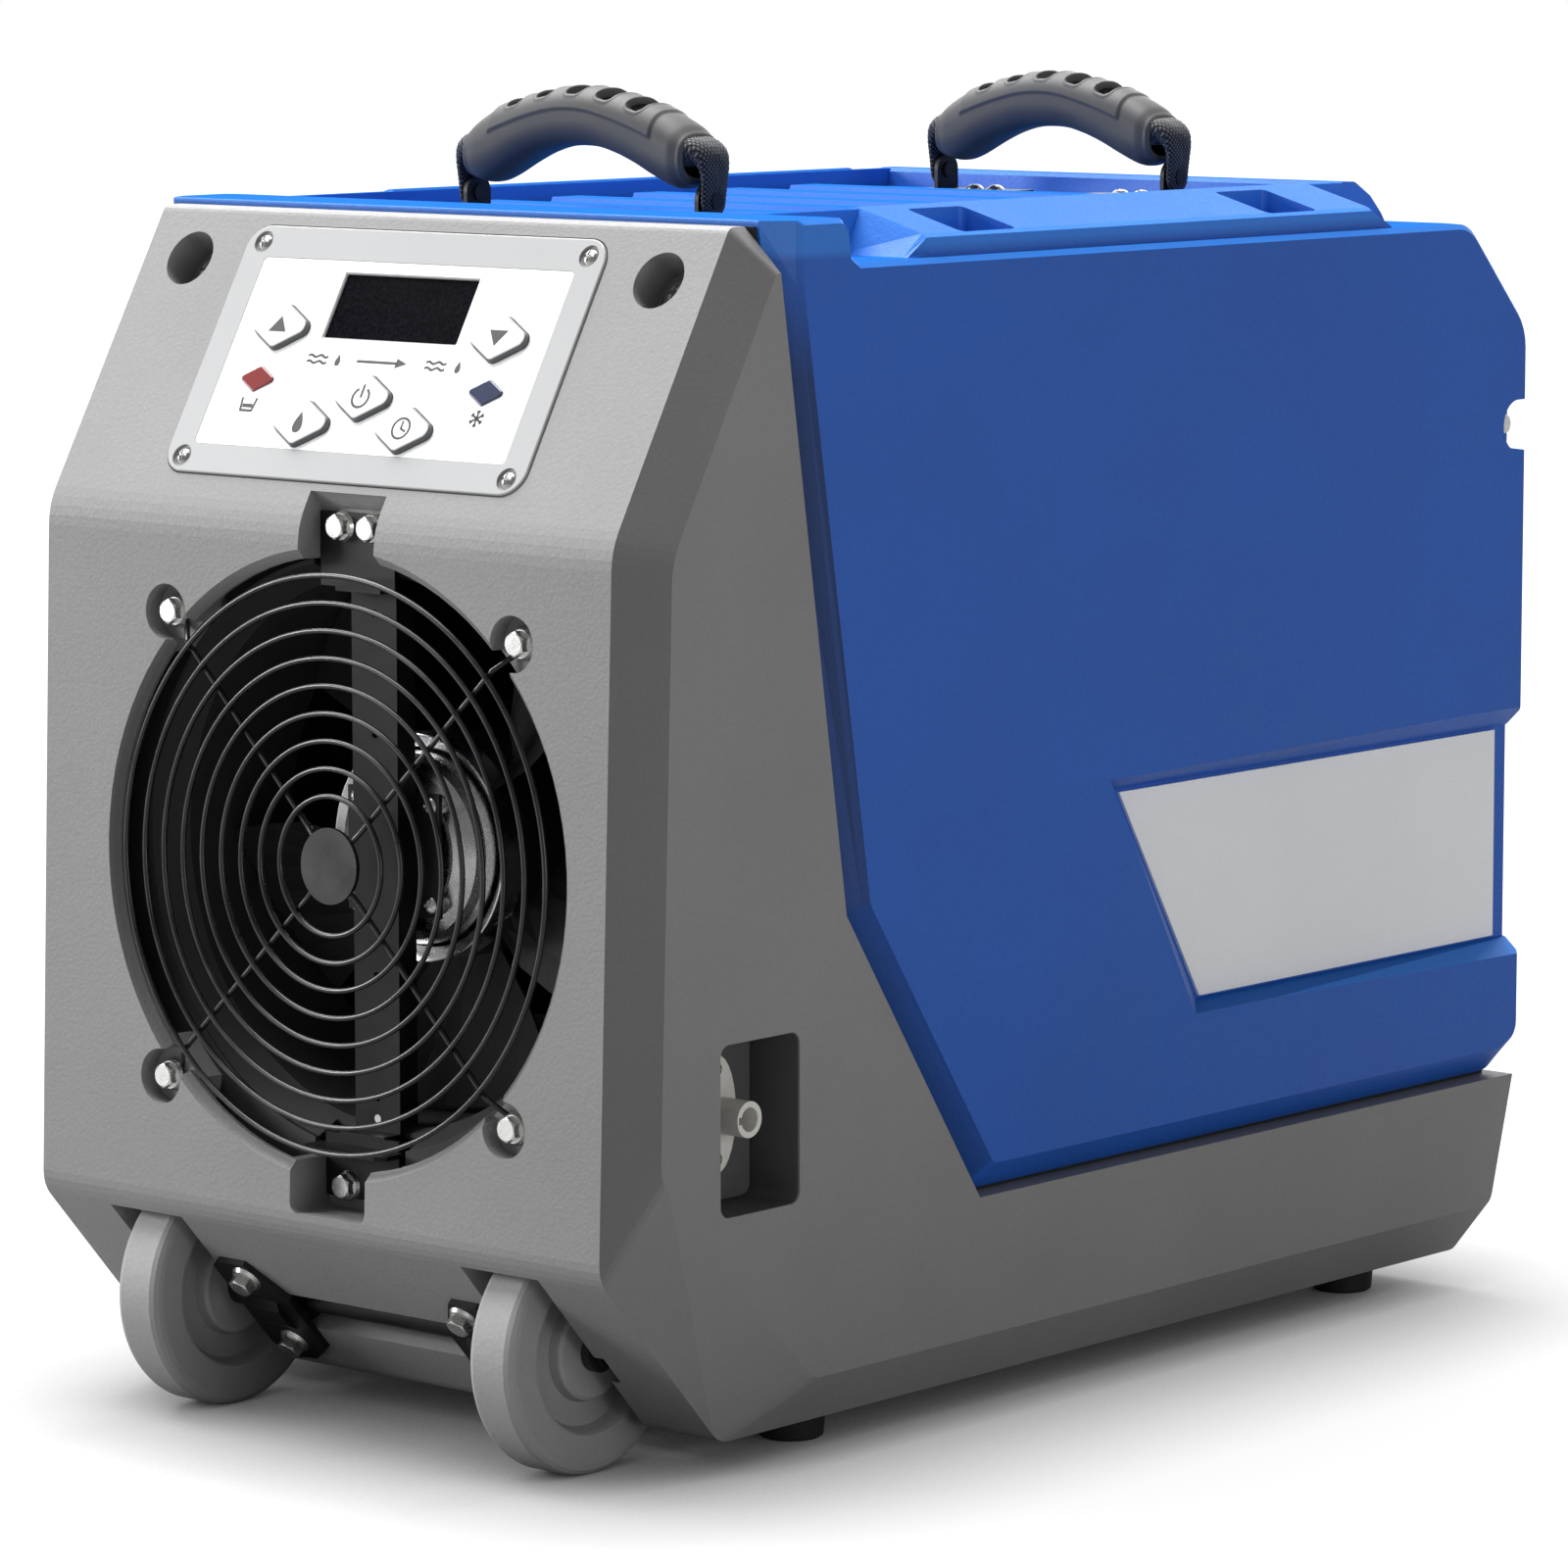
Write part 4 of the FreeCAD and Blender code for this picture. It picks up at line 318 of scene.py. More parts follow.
# ---------------------------------------------------------------------------
# material families; pattern scales are per metre, bump depths in metres
# ---------------------------------------------------------------------------
def moulded(name, base, rough, grain, depth, strength, edge=0.0, spec=0.4, blotch=0.06,
            hollow_shade=None, rim=None, painted_light=None):
    """Moulded plastic with a leathery grain, paler by `edge` where it turns a corner: partly
    wear, partly painted highlight.

    The hollow-shade mask marks inner walls painted near black as shade. rim: (height span,
    colour) painted as shade below a raised cap's face. The last argument adds painted light and
    shade by facing and place.
    """
    mat = Mat(name)
    base = srgb(*base)
    broad = mat.noise(scale=9.0, detail=3.0, rough=0.55)
    middle = mat.noise(scale=60.0, detail=4.0, rough=0.6)
    pebbles = mat.cells(grain)
    fine = mat.noise(scale=grain * 1.7, detail=2.0, rough=0.6)
    height = mat.add(mat.multiply(pebbles, 0.8), mat.multiply(fine, 0.45))
    height = mat.add(height, mat.multiply(middle, 0.08))
    # broad blotches, then lighter grain cells against darker seams
    color = mat.mix(mat.remap(broad, MIDTONES), shade(base, 1 - blotch), shade(base, 1 + blotch))
    color = mat.mix(mat.remap(pebbles, (0.1, 0.6), (0.0, 0.16)), color, shade(base, 0.72))
    # paler corners, broken up by the middle noise: partly rubbed wear, partly painted highlight
    pointiness = mat.node("ShaderNodeNewGeometry").outputs["Pointiness"]
    edge_wear_and_highlight = mat.remap(pointiness, (0.505, 0.56))
    edge_wear_and_highlight = mat.multiply(edge_wear_and_highlight, mat.remap(middle, MIDTONES, (0.6, 1.0)))
    color = mat.layer(edge_wear_and_highlight, color, shade(base, 1.35, lift=0.035), amount=edge)
    # painted shade: the inner walls of the hollow turn near black
    if hollow_shade:
        color = mat.mix(hollow_shade(mat), color, (0.028, 0.028, 0.029))
    # painted shade: the wall below a raised cap's face turns grey
    if rim:
        rim_shade_span, rim_shade_color = rim
        color = mat.mix(slope_height(mat, rim_shade_span), srgb(*rim_shade_color), color)
    # painted light and shade by facing direction and place
    if painted_light:
        color, spec = painted_light(mat, color, spec)
    polish = mat.add(mat.multiply(pebbles, 0.5), mat.multiply(broad, 0.5))
    return mat.surface(color=color, spec=spec,
                       rough=mat.remap(polish, (0.1, 0.8), (rough - 0.08, rough + 0.10)),
                       normal=mat.bump(height, strength, depth))


def metal(name, base, rough, brush=None, scratch=0.5, tint=None):
    """Plated or machined metal with fine scratches and slightly uneven polish."""
    mat = Mat(name)
    if brush:
        scratches = mat.noise(scale=1400.0, detail=4.0, rough=0.6, stretch=brush)
    else:
        scratches = mat.noise(scale=1800.0, detail=3.0, rough=0.6)
    patches = mat.noise(scale=120.0, detail=4.0, rough=0.6)
    clouds = mat.noise(scale=35.0, detail=3.0, rough=0.5)
    color = mat.mix(mat.remap(patches, MIDTONES), shade(base, 0.86), shade(base, 1.08))
    if tint:
        color = mat.mix(mat.remap(clouds, (0.45, 0.75), (0.0, 0.35)), color, tint)
    polish = mat.add(mat.multiply(scratches, 0.6), mat.multiply(clouds, 0.4))
    height = mat.add(scratches, mat.multiply(patches, 0.5))
    return mat.surface(color=color, metal=1.0,
                       rough=mat.remap(polish, MIDTONES, (rough * 0.7, rough * 1.45)),
                       normal=mat.bump(height, strength=0.12 * scratch, distance=0.00004))


def painted(name, base, rough, spec=0.5, strength=0.25):
    """Powder coat: fine orange peel and thin patches of dust."""
    mat = Mat(name)
    base = srgb(*base)
    peel = mat.noise(scale=900.0, detail=3.0, rough=0.55)
    dust = mat.noise(scale=45.0, detail=4.0, rough=0.6)
    color = mat.mix(mat.remap(dust, (0.35, 0.72)), base, shade(base, 1.35, lift=0.006))
    return mat.surface(color=color, spec=spec,
                       rough=mat.remap(dust, MIDTONES, (rough - 0.07, rough + 0.09)),
                       normal=mat.bump(peel, strength, distance=0.00009))


def rubber(name, base, rough=0.72, grain=900.0, strength=0.35, depth=0.0001):
    """Matt rubber with a soft pebbled skin."""
    mat = Mat(name)
    base = srgb(*base)
    fine = mat.noise(scale=grain, detail=4.0, rough=0.65)
    pebbles = mat.cells(grain * 0.8, smooth=0.4)
    clouds = mat.noise(scale=30.0, detail=4.0, rough=0.6)
    color = mat.mix(mat.remap(clouds, (0.35, 0.7)),
                    shade(base, 0.88), shade(base, 1.14, lift=0.003))
    height = mat.add(fine, mat.multiply(pebbles, 0.7))
    return mat.surface(color=color, spec=0.35,
                       rough=mat.remap(clouds, MIDTONES, (rough - 0.06, rough + 0.08)),
                       normal=mat.bump(height, strength, depth))


def lamp(name, base):
    """Unlit lens with a faceted inside."""
    mat = Mat(name)
    base = srgb(*base)
    facets = mat.cells(900.0, smooth=0.2)
    color = mat.mix(mat.remap(facets, (0.1, 0.6)), shade(base, 1.15), shade(base, 0.8))
    return mat.surface(color=color, rough=0.25, spec=0.5, coat=0.4, sss=0.1,
                       normal=mat.bump(facets, strength=0.25, distance=0.0001))


def display_glass():
    """Dark window with a faint mottle."""
    mat = Mat("display_glass")
    mottle = mat.noise(scale=700.0, detail=2.0, rough=0.5)
    color = mat.mix(mat.remap(mottle, (0.4, 0.6)), (0.002, 0.002, 0.003), (0.005, 0.005, 0.007))
    rough = mat.remap(mat.noise(scale=25.0), MIDTONES, (0.22, 0.32))
    return mat.surface(color=color, rough=rough, spec=0.02)


def circuit_board():
    mat = Mat("circuit_board_green")
    color = mat.ramp(mat.cells(160.0), [
        (0.0, (0.01, 0.10, 0.04)), (0.5, (0.015, 0.16, 0.06)),
        (0.52, (0.05, 0.30, 0.12)), (1.0, (0.02, 0.2, 0.08))])
    return mat.surface(color=color, rough=0.35)


def filter_felt():
    """Pale felt, its fibres drawn out along Z."""
    mat = Mat("filter_felt")
    fibres = mat.noise(scale=2200.0, detail=4.0, rough=0.7, stretch=(1, 1, 0.25))
    clouds = mat.noise(scale=70.0, detail=3.0, rough=0.6)
    color = mat.mix(mat.remap(clouds, (0.35, 0.7)), srgb(214, 218, 220), srgb(178, 184, 188))
    return mat.surface(color=color, rough=0.9, sheen=0.4,
                       normal=mat.bump(fibres, strength=0.6, distance=0.0003))


def rotor():
    """Machined metal on the front of the motor can, dark plastic everywhere else."""
    axis_x, axis_z = 0.0095, 0.264
    can_radius = 0.0513
    rim_back = DATUM_Y + 0.0735
    mat = Mat("rotor_and_blades")
    x, y, z = mat.position()
    off_x = mat.math("SUBTRACT", x, axis_x)
    off_z = mat.math("SUBTRACT", z, axis_z)
    radius = mat.math("SQRT", mat.add(mat.multiply(off_x, off_x), mat.multiply(off_z, off_z)))
    rim = mat.multiply(mat.math("LESS_THAN", radius, can_radius),
                       mat.math("LESS_THAN", y, rim_back))
    turning = mat.noise(scale=900.0, detail=3.0, rough=0.6, stretch=(1, 14, 1))
    machined = mat.mix(mat.remap(turning, MIDTONES), (0.80, 0.80, 0.81), (0.94, 0.94, 0.95))
    rough = mat.add(mat.multiply(rim, -0.14),
                    mat.remap(mat.noise(scale=60.0), MIDTONES, (0.36, 0.44)))
    return mat.surface(color=mat.mix(rim, srgb(34, 34, 35), machined),
                       metal=mat.multiply(rim, 1.0), rough=rough,
                       normal=mat.bump(turning, strength=0.04, distance=0.00003))


WEAVE_PITCH = 2.1           # mm


def webbing():
    """Woven black webbing: painted highlight on its thread crests, painted shade between them."""
    mat = Mat("woven_webbing")
    across, along, _ = mat.split(mat.node("ShaderNodeUVMap", uv_map="weave").outputs[0])
    phase = math.pi / (WEAVE_PITCH / 1000.0)
    rising = mat.math("SINE", mat.multiply(mat.add(across, along), phase))
    falling = mat.math("SINE", mat.multiply(mat.math("SUBTRACT", across, along), phase))
    crest = mat.math("ABSOLUTE", mat.multiply(rising, falling))
    fibres = mat.noise(scale=5200.0, detail=3.0, rough=0.7)
    # painted highlight on the crests, painted shade in the hollows of the weave
    color = mat.ramp(crest, [
        (0.0, srgb(8, 8, 9)), (0.4, srgb(26, 27, 29)), (1.0, srgb(98, 101, 106))])
    color = mat.mix(mat.remap(fibres, (0.35, 0.7), (0.0, 0.5)), color, srgb(20, 20, 22))
    height = mat.add(crest, mat.multiply(fibres, 0.4))
    return mat.surface(color=color, rough=mat.remap(crest, (0.0, 1.0), (0.85, 0.55)),
                       sheen=0.25, sheen_rough=0.4, spec=0.3,
                       normal=mat.bump(height, strength=0.6, distance=0.00025))


def shaded_window_webbing():
    """The webbing seen through the windows of the grips, kept dark as painted shade in the window
    pits.
    """
    mat = Mat("shaded_webbing_in_windows")
    threads = mat.cells(1500.0)
    color = mat.mix(mat.remap(threads, (0.1, 0.5)), srgb(9, 9, 10), srgb(30, 31, 33))
    return mat.surface(color=color, rough=0.85, spec=0.15,
                       normal=mat.bump(threads, strength=0.5, distance=0.0003))


def printing_ink():
    mat = Mat("printing_ink")
    mottle = mat.remap(mat.noise(scale=900.0), MIDTONES)
    return mat.surface(color=mat.mix(mottle, srgb(24, 23, 25), srgb(36, 35, 38)), rough=0.5)


def floor_paper():
    """Bright sweep to the camera with painted contact shadow, darker near contacts; mid grey to
    all other rays.
    """
    mat = Mat("floor_paper")
    mottle = mat.noise(scale=3.0, detail=3.0, rough=0.5)
    seen = mat.node("ShaderNodeLightPath").outputs["Is Camera Ray"]
    paper = mat.mix(mat.remap(mottle, MIDTONES), (0.095, 0.095, 0.095), (0.10, 0.10, 0.10))
    occlusion = mat.node("ShaderNodeAmbientOcclusion", samples=6)
    occlusion.inputs["Distance"].default_value = 0.13
    # painted contact shadow: the glow dims where the occlusion node finds nearby geometry
    glow_with_painted_shadow = mat.multiply(mat.math("POWER", occlusion.outputs["AO"], 1.25), seen)
    return mat.surface(color=mat.mix(seen, (0.20, 0.20, 0.20), paper), rough=0.8, spec=0.1,
                       emit=(1.0, 1.0, 1.0), emit_strength=mat.multiply(glow_with_painted_shadow, 0.86))


# ---------------------------------------------------------------------------
# materials on the CAD pieces
# ---------------------------------------------------------------------------
use(moulded("grey_polyethylene", (130, 129, 129), rough=0.56, grain=560.0, depth=0.00022,
            strength=0.5, hollow_shade=grey_hollow_shade, painted_light=grey_painted_shade),
    "front_housing", "housing_screws", "drain_plate")
use(moulded("blue_polyethylene", (26, 87, 179), rough=0.50, grain=560.0, depth=0.00020,
            strength=0.42, hollow_shade=blue_hollow_shade, painted_light=blue_painted_light),
    "top_cover")
use(moulded("badge_grey", (236, 237, 238), rough=0.40, grain=900.0, depth=0.00005,
            strength=0.2, blotch=0.03),
    "badge_plates")
use(moulded("panel_grey", (156, 157, 158), rough=0.42, grain=1100.0, depth=0.00005,
            strength=0.25, blotch=0.02),
    "control_panel_plate", "condensate_pump")
use(moulded("label_film", (226, 227, 228), rough=0.35, grain=1500.0, depth=0.00002,
            strength=0.15, blotch=0.015),
    "panel_overlay")
use(moulded("black_moulding", (26, 26, 27), rough=0.5, grain=1100.0, depth=0.00006,
            strength=0.35, edge=0.25, spec=0.45),
    "axle_clips", "intake_frame", "power_inlet", "filter_cassette", "drain_pan")
use(moulded("shroud_plastic", (42, 42, 43), rough=0.55, grain=900.0, depth=0.00008,
            strength=0.35, edge=0.2),
    "fan_shroud")
# the grey band below each cap face is painted shade on the side wall
use(moulded("button_white", (224, 225, 225), rough=0.42, grain=1500.0, depth=0.00003,
            strength=0.2, blotch=0.02, rim=((0.0031, 0.00352), (88, 89, 91))),
    "button_up", "button_down", "button_power", "button_purge", "button_timer")
use(moulded("wheel_grey", (139, 138, 138), rough=0.6, grain=420.0, depth=0.00025,
            strength=0.5, edge=0.35),
    "wheel_left", "wheel_right")
use(moulded("nylon_natural", (212, 210, 204), rough=0.42, grain=1200.0, depth=0.00003,
            strength=0.2, edge=0.15, blotch=0.03),
    "drain_fitting")
use(metal("zinc_plate", (0.78, 0.78, 0.77), rough=0.26, tint=(0.72, 0.70, 0.62)),
    "cover_bolts", "guard_bolts", "bracket_bolts", "motor_screws", "axle_bolts",
    "rear_screws", "strap_screws", "drain_screws", "compressor_bolts")
use(metal("zinc_plate_dull", (0.50, 0.50, 0.50), rough=0.24, tint=(0.45, 0.44, 0.40)),
    "panel_screws")
use(metal("galvanised_sheet", (0.56, 0.57, 0.58), rough=0.38, scratch=1.0),
    "base_plate", "control_box", "coil_end_plates")
use(metal("aluminium_fins", (0.74, 0.75, 0.76), rough=0.34, brush=(1, 1, 18)),
    "condenser_coil", "evaporator_coil")
use(metal("bare_copper", (0.80, 0.40, 0.24), rough=0.3, tint=(0.45, 0.22, 0.12)),
    "refrigerant_lines")
use(painted("black_powder_coat", (14, 14, 15), rough=0.46, spec=0.28),
    "strap_rivets", "fan_bracket", "axle_brackets", "wheel_axle", "strap_plates")
use(painted("guard_wire_coat", (11, 11, 12), rough=0.30, spec=0.55, strength=0.0),
    "fan_guard")
use(metal("polished_end_bell", (0.66, 0.66, 0.67), rough=0.24, scratch=0.10),
    "fan_motor_stator")
use(painted("compressor_enamel", (16, 16, 17), rough=0.28), "compressor")
use(rubber("black_rubber", (24, 24, 24)), "case_gasket", "rubber_feet", "compressor_grommets")
use(rubber("drain_tube", (170, 170, 162), rough=0.5, strength=0.15), "drain_hose")
GRIP_RUBBER = rubber("grip_rubber", (62, 62, 63), rough=0.58, grain=1500.0, strength=0.22,
                     depth=0.00005)
use(GRIP_RUBBER, "handle_grip_front", "handle_grip_rear")
use(display_glass(), "display_window")
use(lamp("lamp_red", (122, 38, 37)), "indicator_full")
use(lamp("lamp_blue", (36, 46, 74)), "indicator_defrost")
use(circuit_board(), "circuit_board")
use(filter_felt(), "filter_media")
use(rotor(), "fan_impeller")


# ---------------------------------------------------------------------------
# mesh tools
# ---------------------------------------------------------------------------
def add_object(name, mesh, material):
    obj = bpy.data.objects.new(name, mesh)
    bpy.context.scene.collection.objects.link(obj)
    mesh.materials.append(material)
    return obj


def shade_smooth(mesh):
    for polygon in mesh.polygons:
        polygon.use_smooth = True


def handle_part(name, verts, faces, material, body, uvs=None):
    """Smooth mesh that rides on a body; uvs holds one weave coordinate per vertex."""
    mesh = bpy.data.meshes.new(name)
    mesh.from_pydata([tuple(vert) for vert in verts], [], faces)
    mesh.validate()
    shade_smooth(mesh)
    if uvs is not None:
        layer = mesh.uv_layers.new(name="weave")
        for loop in mesh.loops:
            layer.data[loop.index].uv = uvs[loop.vertex_index]
    obj = add_object(name, mesh, material)
    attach(obj, body)
    return obj


def tube_faces(first, rings, around):
    """Quads joining successive rings of `around` vertices, starting at vertex `first`."""
    faces = []
    for ring in range(rings - 1):
        start = first + ring * around
        for k in range(around):
            here, after = start + k, start + (k + 1) % around
            faces.append((here, after, after + around, here + around))
    return faces


def rounded(value, exponent):
    """Signed power: squares up a circle's sine or cosine."""
    return math.copysign(abs(value) ** exponent, value)


def resample(rows, count):
    """Even samples of a Catmull-Rom curve through the rows, each with its length appended."""
    steps = 24                      # subdivisions of each span
    dense = []
    for i in range(len(rows) - 1):
        span = rows[max(i - 1, 0)], rows[i], rows[i + 1], rows[min(i + 2, len(rows) - 1)]
        for k in range(steps):
            t = k / steps
            dense.append(tuple(
                0.5 * ((2 * b) + (-a + c) * t + (2 * a - 5 * b + 4 * c - d) * t * t
                       + (-a + 3 * b - 3 * c + d) * t ** 3)
                for a, b, c, d in zip(*span)))
    dense.append(rows[-1])
    lengths = [0.0]
    for a, b in zip(dense[:-1], dense[1:]):
        lengths.append(lengths[-1] + math.hypot(a[0] - b[0], a[1] - b[1]))
    samples, j = [], 0
    for i in range(count):
        length = lengths[-1] * i / (count - 1)
        while j < len(lengths) - 2 and lengths[j + 1] < length:
            j += 1
        part = (length - lengths[j]) / max(1e-9, lengths[j + 1] - lengths[j])
        sample = tuple(a + (b - a) * part for a, b in zip(dense[j], dense[j + 1]))
        samples.append(sample + (length,))
    return samples


# ---------------------------------------------------------------------------
# webbing straps: an arch across X
# ---------------------------------------------------------------------------
# From the +X end to the crown: x, z, half width (along Y), half thickness; mm.
HALF_STRAP = [
    (73.0, 278.9, 3.4, 1.3), (73.0, 281.0, 5.7, 1.6), (73.0, 283.5, 7.1, 1.7),
    (73.1, 286.0, 7.6, 1.75), (73.4, 291.0, 7.8, 1.9), (73.7, 296.0, 8.2, 2.2),
    (73.2, 301.0, 9.2, 3.0), (71.0, 305.6, 10.6, 4.4), (67.4, 307.6, 11.6, 5.8),
    (63.0, 308.0, 12.0, 6.8), (57.0, 309.2, 12.0, 7.0), (49.0, 311.6, 12.0, 6.6),
    (37.0, 315.4, 12.0, 5.6), (22.0, 319.0, 12.0, 5.0), (8.0, 321.2, 12.0, 5.0),
    (0.0, 321.6, 12.0, 5.0)]
STRAP_PATH = HALF_STRAP + [(-x, z, width, thick) for x, z, width, thick in HALF_STRAP[-2::-1]]
STRAP_RINGS, STRAP_AROUND = 420, 92
WEAVE_RELIEF = 0.30         # mm, height of the thread crests
FOLD_DEPTH = 0.25           # mm, long soft creases
UNDERSIDE_SHIFT = 60        # mm, sets the underside apart in the weave coordinate


def build_strap(tag, mid_y):
    rows = resample(STRAP_PATH, STRAP_RINGS)
    verts, uvs = [], []
    for i, (x, z, width, thick, length) in enumerate(rows):
        before, after = rows[max(i - 1, 0)], rows[min(i + 1, STRAP_RINGS - 1)]
        dx, dz = after[0] - before[0], after[1] - before[1]
        chord = math.hypot(dx, dz) or 1.0
        normal_x, normal_z = -dz / chord, dx / chord
        for k in range(STRAP_AROUND):
            angle = 2 * math.pi * (k + 0.5) / STRAP_AROUND
            cos, sin = math.cos(angle), math.sin(angle)
            across = width * rounded(cos, 0.62)
            out = thick * rounded(sin, 0.75)
            weave = across if sin >= 0 else -across + UNDERSIDE_SHIFT
            relief = abs(math.sin(math.pi * (weave + length) / WEAVE_PITCH)
                         * math.sin(math.pi * (weave - length) / WEAVE_PITCH)) * WEAVE_RELIEF
            fold = (FOLD_DEPTH * math.sin(length * 0.55 + 1.3 * math.sin(across * 0.35))
                    * (1 - abs(cos)) * (1.0 if thick < 4 else 0.5))
            # push outwards along the section's own normal
            push = relief + fold
            push_y, push_out = cos * thick, sin * width
            size = math.hypot(push_y, push_out) or 1.0
            across += push * push_y / size
            out += push * push_out / size
            verts.append(place(x + normal_x * out, mid_y + across, z + normal_z * out))
            uvs.append((weave / 1000.0, length / 1000.0))
    faces = tube_faces(0, STRAP_RINGS, STRAP_AROUND)
    last = (STRAP_RINGS - 1) * STRAP_AROUND
    faces.append(tuple(range(STRAP_AROUND))[::-1])
    faces.append(tuple(range(last, last + STRAP_AROUND)))
    strap = handle_part("webbing_strap_" + tag, verts, faces, WEBBING, tag + "_handle",
                        uvs)
    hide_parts("handle_strap_" + tag)


# ---------------------------------------------------------------------------
# grips: hollow rubber sleeves along X with windows in the crest
# ---------------------------------------------------------------------------
# Upper and lower outline: x, z; mm.
GRIP_TOP = [
    (-66.0, 314.0), (-61.9, 318.6), (-49.7, 325.5), (-37.0, 329.2), (-25.6, 331.8),
    (-13.0, 334.0), (-1.0, 334.8), (11.0, 334.0), (22.8, 331.8), (35.0, 329.0),
    (46.0, 325.7), (59.6, 319.6), (66.0, 314.2)]
GRIP_BOTTOM = [
    (-66.0, 293.6), (-57.2, 291.4), (-49.9, 293.4), (-38.0, 299.0), (-25.7, 304.2),
    (-13.0, 308.0), (-1.9, 309.2), (10.0, 308.4), (21.7, 305.1), (34.0, 300.4),
    (45.1, 295.6), (57.9, 291.4), (66.0, 293.8)]
GRIP_END = 66.0             # half length
GRIP_HALF_WIDTH, GRIP_END_TAPER = 15.6, 1.3
GRIP_WALL = 2.4
GRIP_RINGS, GRIP_AROUND = 340, 150
INNER_STATIONS = [GRIP_END, 64.0, 60.0, 52.0, 40.0]     # x of the bore's rings, end inwards
CAP_MID, CAP_HEIGHT = -0.5, 0.9                         # raised cap over the crest
WINDOWS = [CAP_MID + 18.0 * i for i in range(-2, 3)]
WINDOW_DEPTH = 4.6
WINDOW_HALF_X, WINDOW_HALF_Y = 1.6, 9.0                 # before the rounded border


def outline_z(points, x):
    """Smooth (Hermite) interpolation in an outline table."""
    i = 0
    while i < len(points) - 2 and points[i + 1][0] < x:
        i += 1
    (x0, z0), (x1, z1) = points[i], points[i + 1]
    before, after = points[max(i - 1, 0)], points[min(i + 2, len(points) - 1)]
    u = (x - x0) / (x1 - x0)
    slope0 = (z1 - before[1]) / max(1e-6, (x1 - before[0])) * (x1 - x0)
    slope1 = (after[1] - z0) / max(1e-6, (after[0] - x0)) * (x1 - x0)
    return ((2 * u ** 3 - 3 * u ** 2 + 1) * z0 + (u ** 3 - 2 * u ** 2 + u) * slope0
            + (-2 * u ** 3 + 3 * u ** 2) * z1 + (u ** 3 - u ** 2) * slope1)


def smoothstep(start, end, x):
    t = max(0.0, min(1.0, (x - start) / (end - start)))
    return t * t * (3 - 2 * t)


def grip_relief(x, y, sin):
    """Height added to the sleeve's outside, and how far the point is sunk in a window."""
    height, sunk = 0.0, 0.0
    cap = smoothstep(0.16, 0.24, sin) * (1 - smoothstep(48, 50, abs(x - CAP_MID)))
    height += CAP_HEIGHT * cap
    if sin > 0.1:
        for window_x in WINDOWS:
            reach = math.hypot(max(0.0, abs(x - window_x) - WINDOW_HALF_X),
                               max(0.0, abs(y) - WINDOW_HALF_Y))
            inside = 1 - smoothstep(2.3, 2.9, reach)
            height -= WINDOW_DEPTH * inside
            height += 0.35 * math.exp(-((reach - 3.7) / 0.55) ** 2)     # lip round the window
            sunk = max(sunk, inside)
    # bead and rounded lip at each open end
    height += 0.35 * math.exp(-((abs(x) - 64.6) / 1.0) ** 2)
    height -= 0.8 * smoothstep(65.0, 66.0, abs(x))
    # shallow swells on the underside
    height += 0.4 * math.cos(x * 0.11) * max(0.0, -sin)
    return height, sunk


def grip_ring(x, mid_y, bore):
    """(point, sunk) pairs round the sleeve at x, on its outside or its bore."""
    top, bottom = outline_z(GRIP_TOP, x), outline_z(GRIP_BOTTOM, x)
    mid_z, half_height = (top + bottom) / 2, (top - bottom) / 2
    half_width = GRIP_HALF_WIDTH - GRIP_END_TAPER * smoothstep(58, 66, abs(x))
    ring = []
    for k in range(GRIP_AROUND):
        angle = 2 * math.pi * (k + 0.5) / GRIP_AROUND
        sin = math.sin(angle)
        y = half_width * rounded(math.cos(angle), 0.80)
        z = half_height * rounded(sin, 0.80)
        radius = math.hypot(y, z)
        height, sunk = (-GRIP_WALL, 0.0) if bore else grip_relief(x, y, sin)
        grow = (radius + height) / radius
        ring.append((place(x, mid_y + y * grow, mid_z + z * grow), sunk))
    return ring


def build_grip(tag, mid_y):
    stations = [(-GRIP_END + 2 * GRIP_END * i / (GRIP_RINGS - 1), False)
                for i in range(GRIP_RINGS)]
    stations += [(x, True) for x in INNER_STATIONS]
    stations += [(-x, True) for x in reversed(INNER_STATIONS)]
    points = [pair for x, bore in stations for pair in grip_ring(x, mid_y, bore)]
    verts = [point for point, _ in points]
    sunk = [depth for _, depth in points]

    # outside and +X bore, then -X bore; a wall closes each bore part way in
    inner_count = len(INNER_STATIONS)
    left = (GRIP_RINGS + inner_count) * GRIP_AROUND
    last = left + (inner_count - 1) * GRIP_AROUND
    faces = tube_faces(0, GRIP_RINGS + inner_count, GRIP_AROUND)
    faces.append(tuple(range(left - GRIP_AROUND, left)))
    faces += tube_faces(left, inner_count, GRIP_AROUND)
    faces.append(tuple(range(left + GRIP_AROUND - 1, left - 1, -1)))
    for k in range(GRIP_AROUND):
        after = (k + 1) % GRIP_AROUND
        faces.append((last + k, last + after, after, k))
    grip = handle_part("moulded_grip_" + tag, verts, faces, GRIP_RUBBER, tag + "_handle")
    mesh = grip.data
    mesh.materials.append(SHADED_WINDOW_WEBBING)
    # the sunk window faces take the dark webbing: the webbing plus painted shade
    for polygon in mesh.polygons:
        corners = polygon.vertices
        if len(corners) == 4 and min(sunk[corner] for corner in corners) > 0.55:
            polygon.material_index = 1
    bm = bmesh.new()
    bm.from_mesh(mesh)
    bmesh.ops.recalc_face_normals(bm, faces=bm.faces)
    bm.to_mesh(mesh)
    bm.free()
    shade_smooth(mesh)
    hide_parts("handle_grip_" + tag)


WEBBING = webbing()
SHADED_WINDOW_WEBBING = shaded_window_webbing()
for tag, mid_y in (("front", 186.0), ("rear", 527.0)):
    build_strap(tag, mid_y)
    build_grip(tag, mid_y)

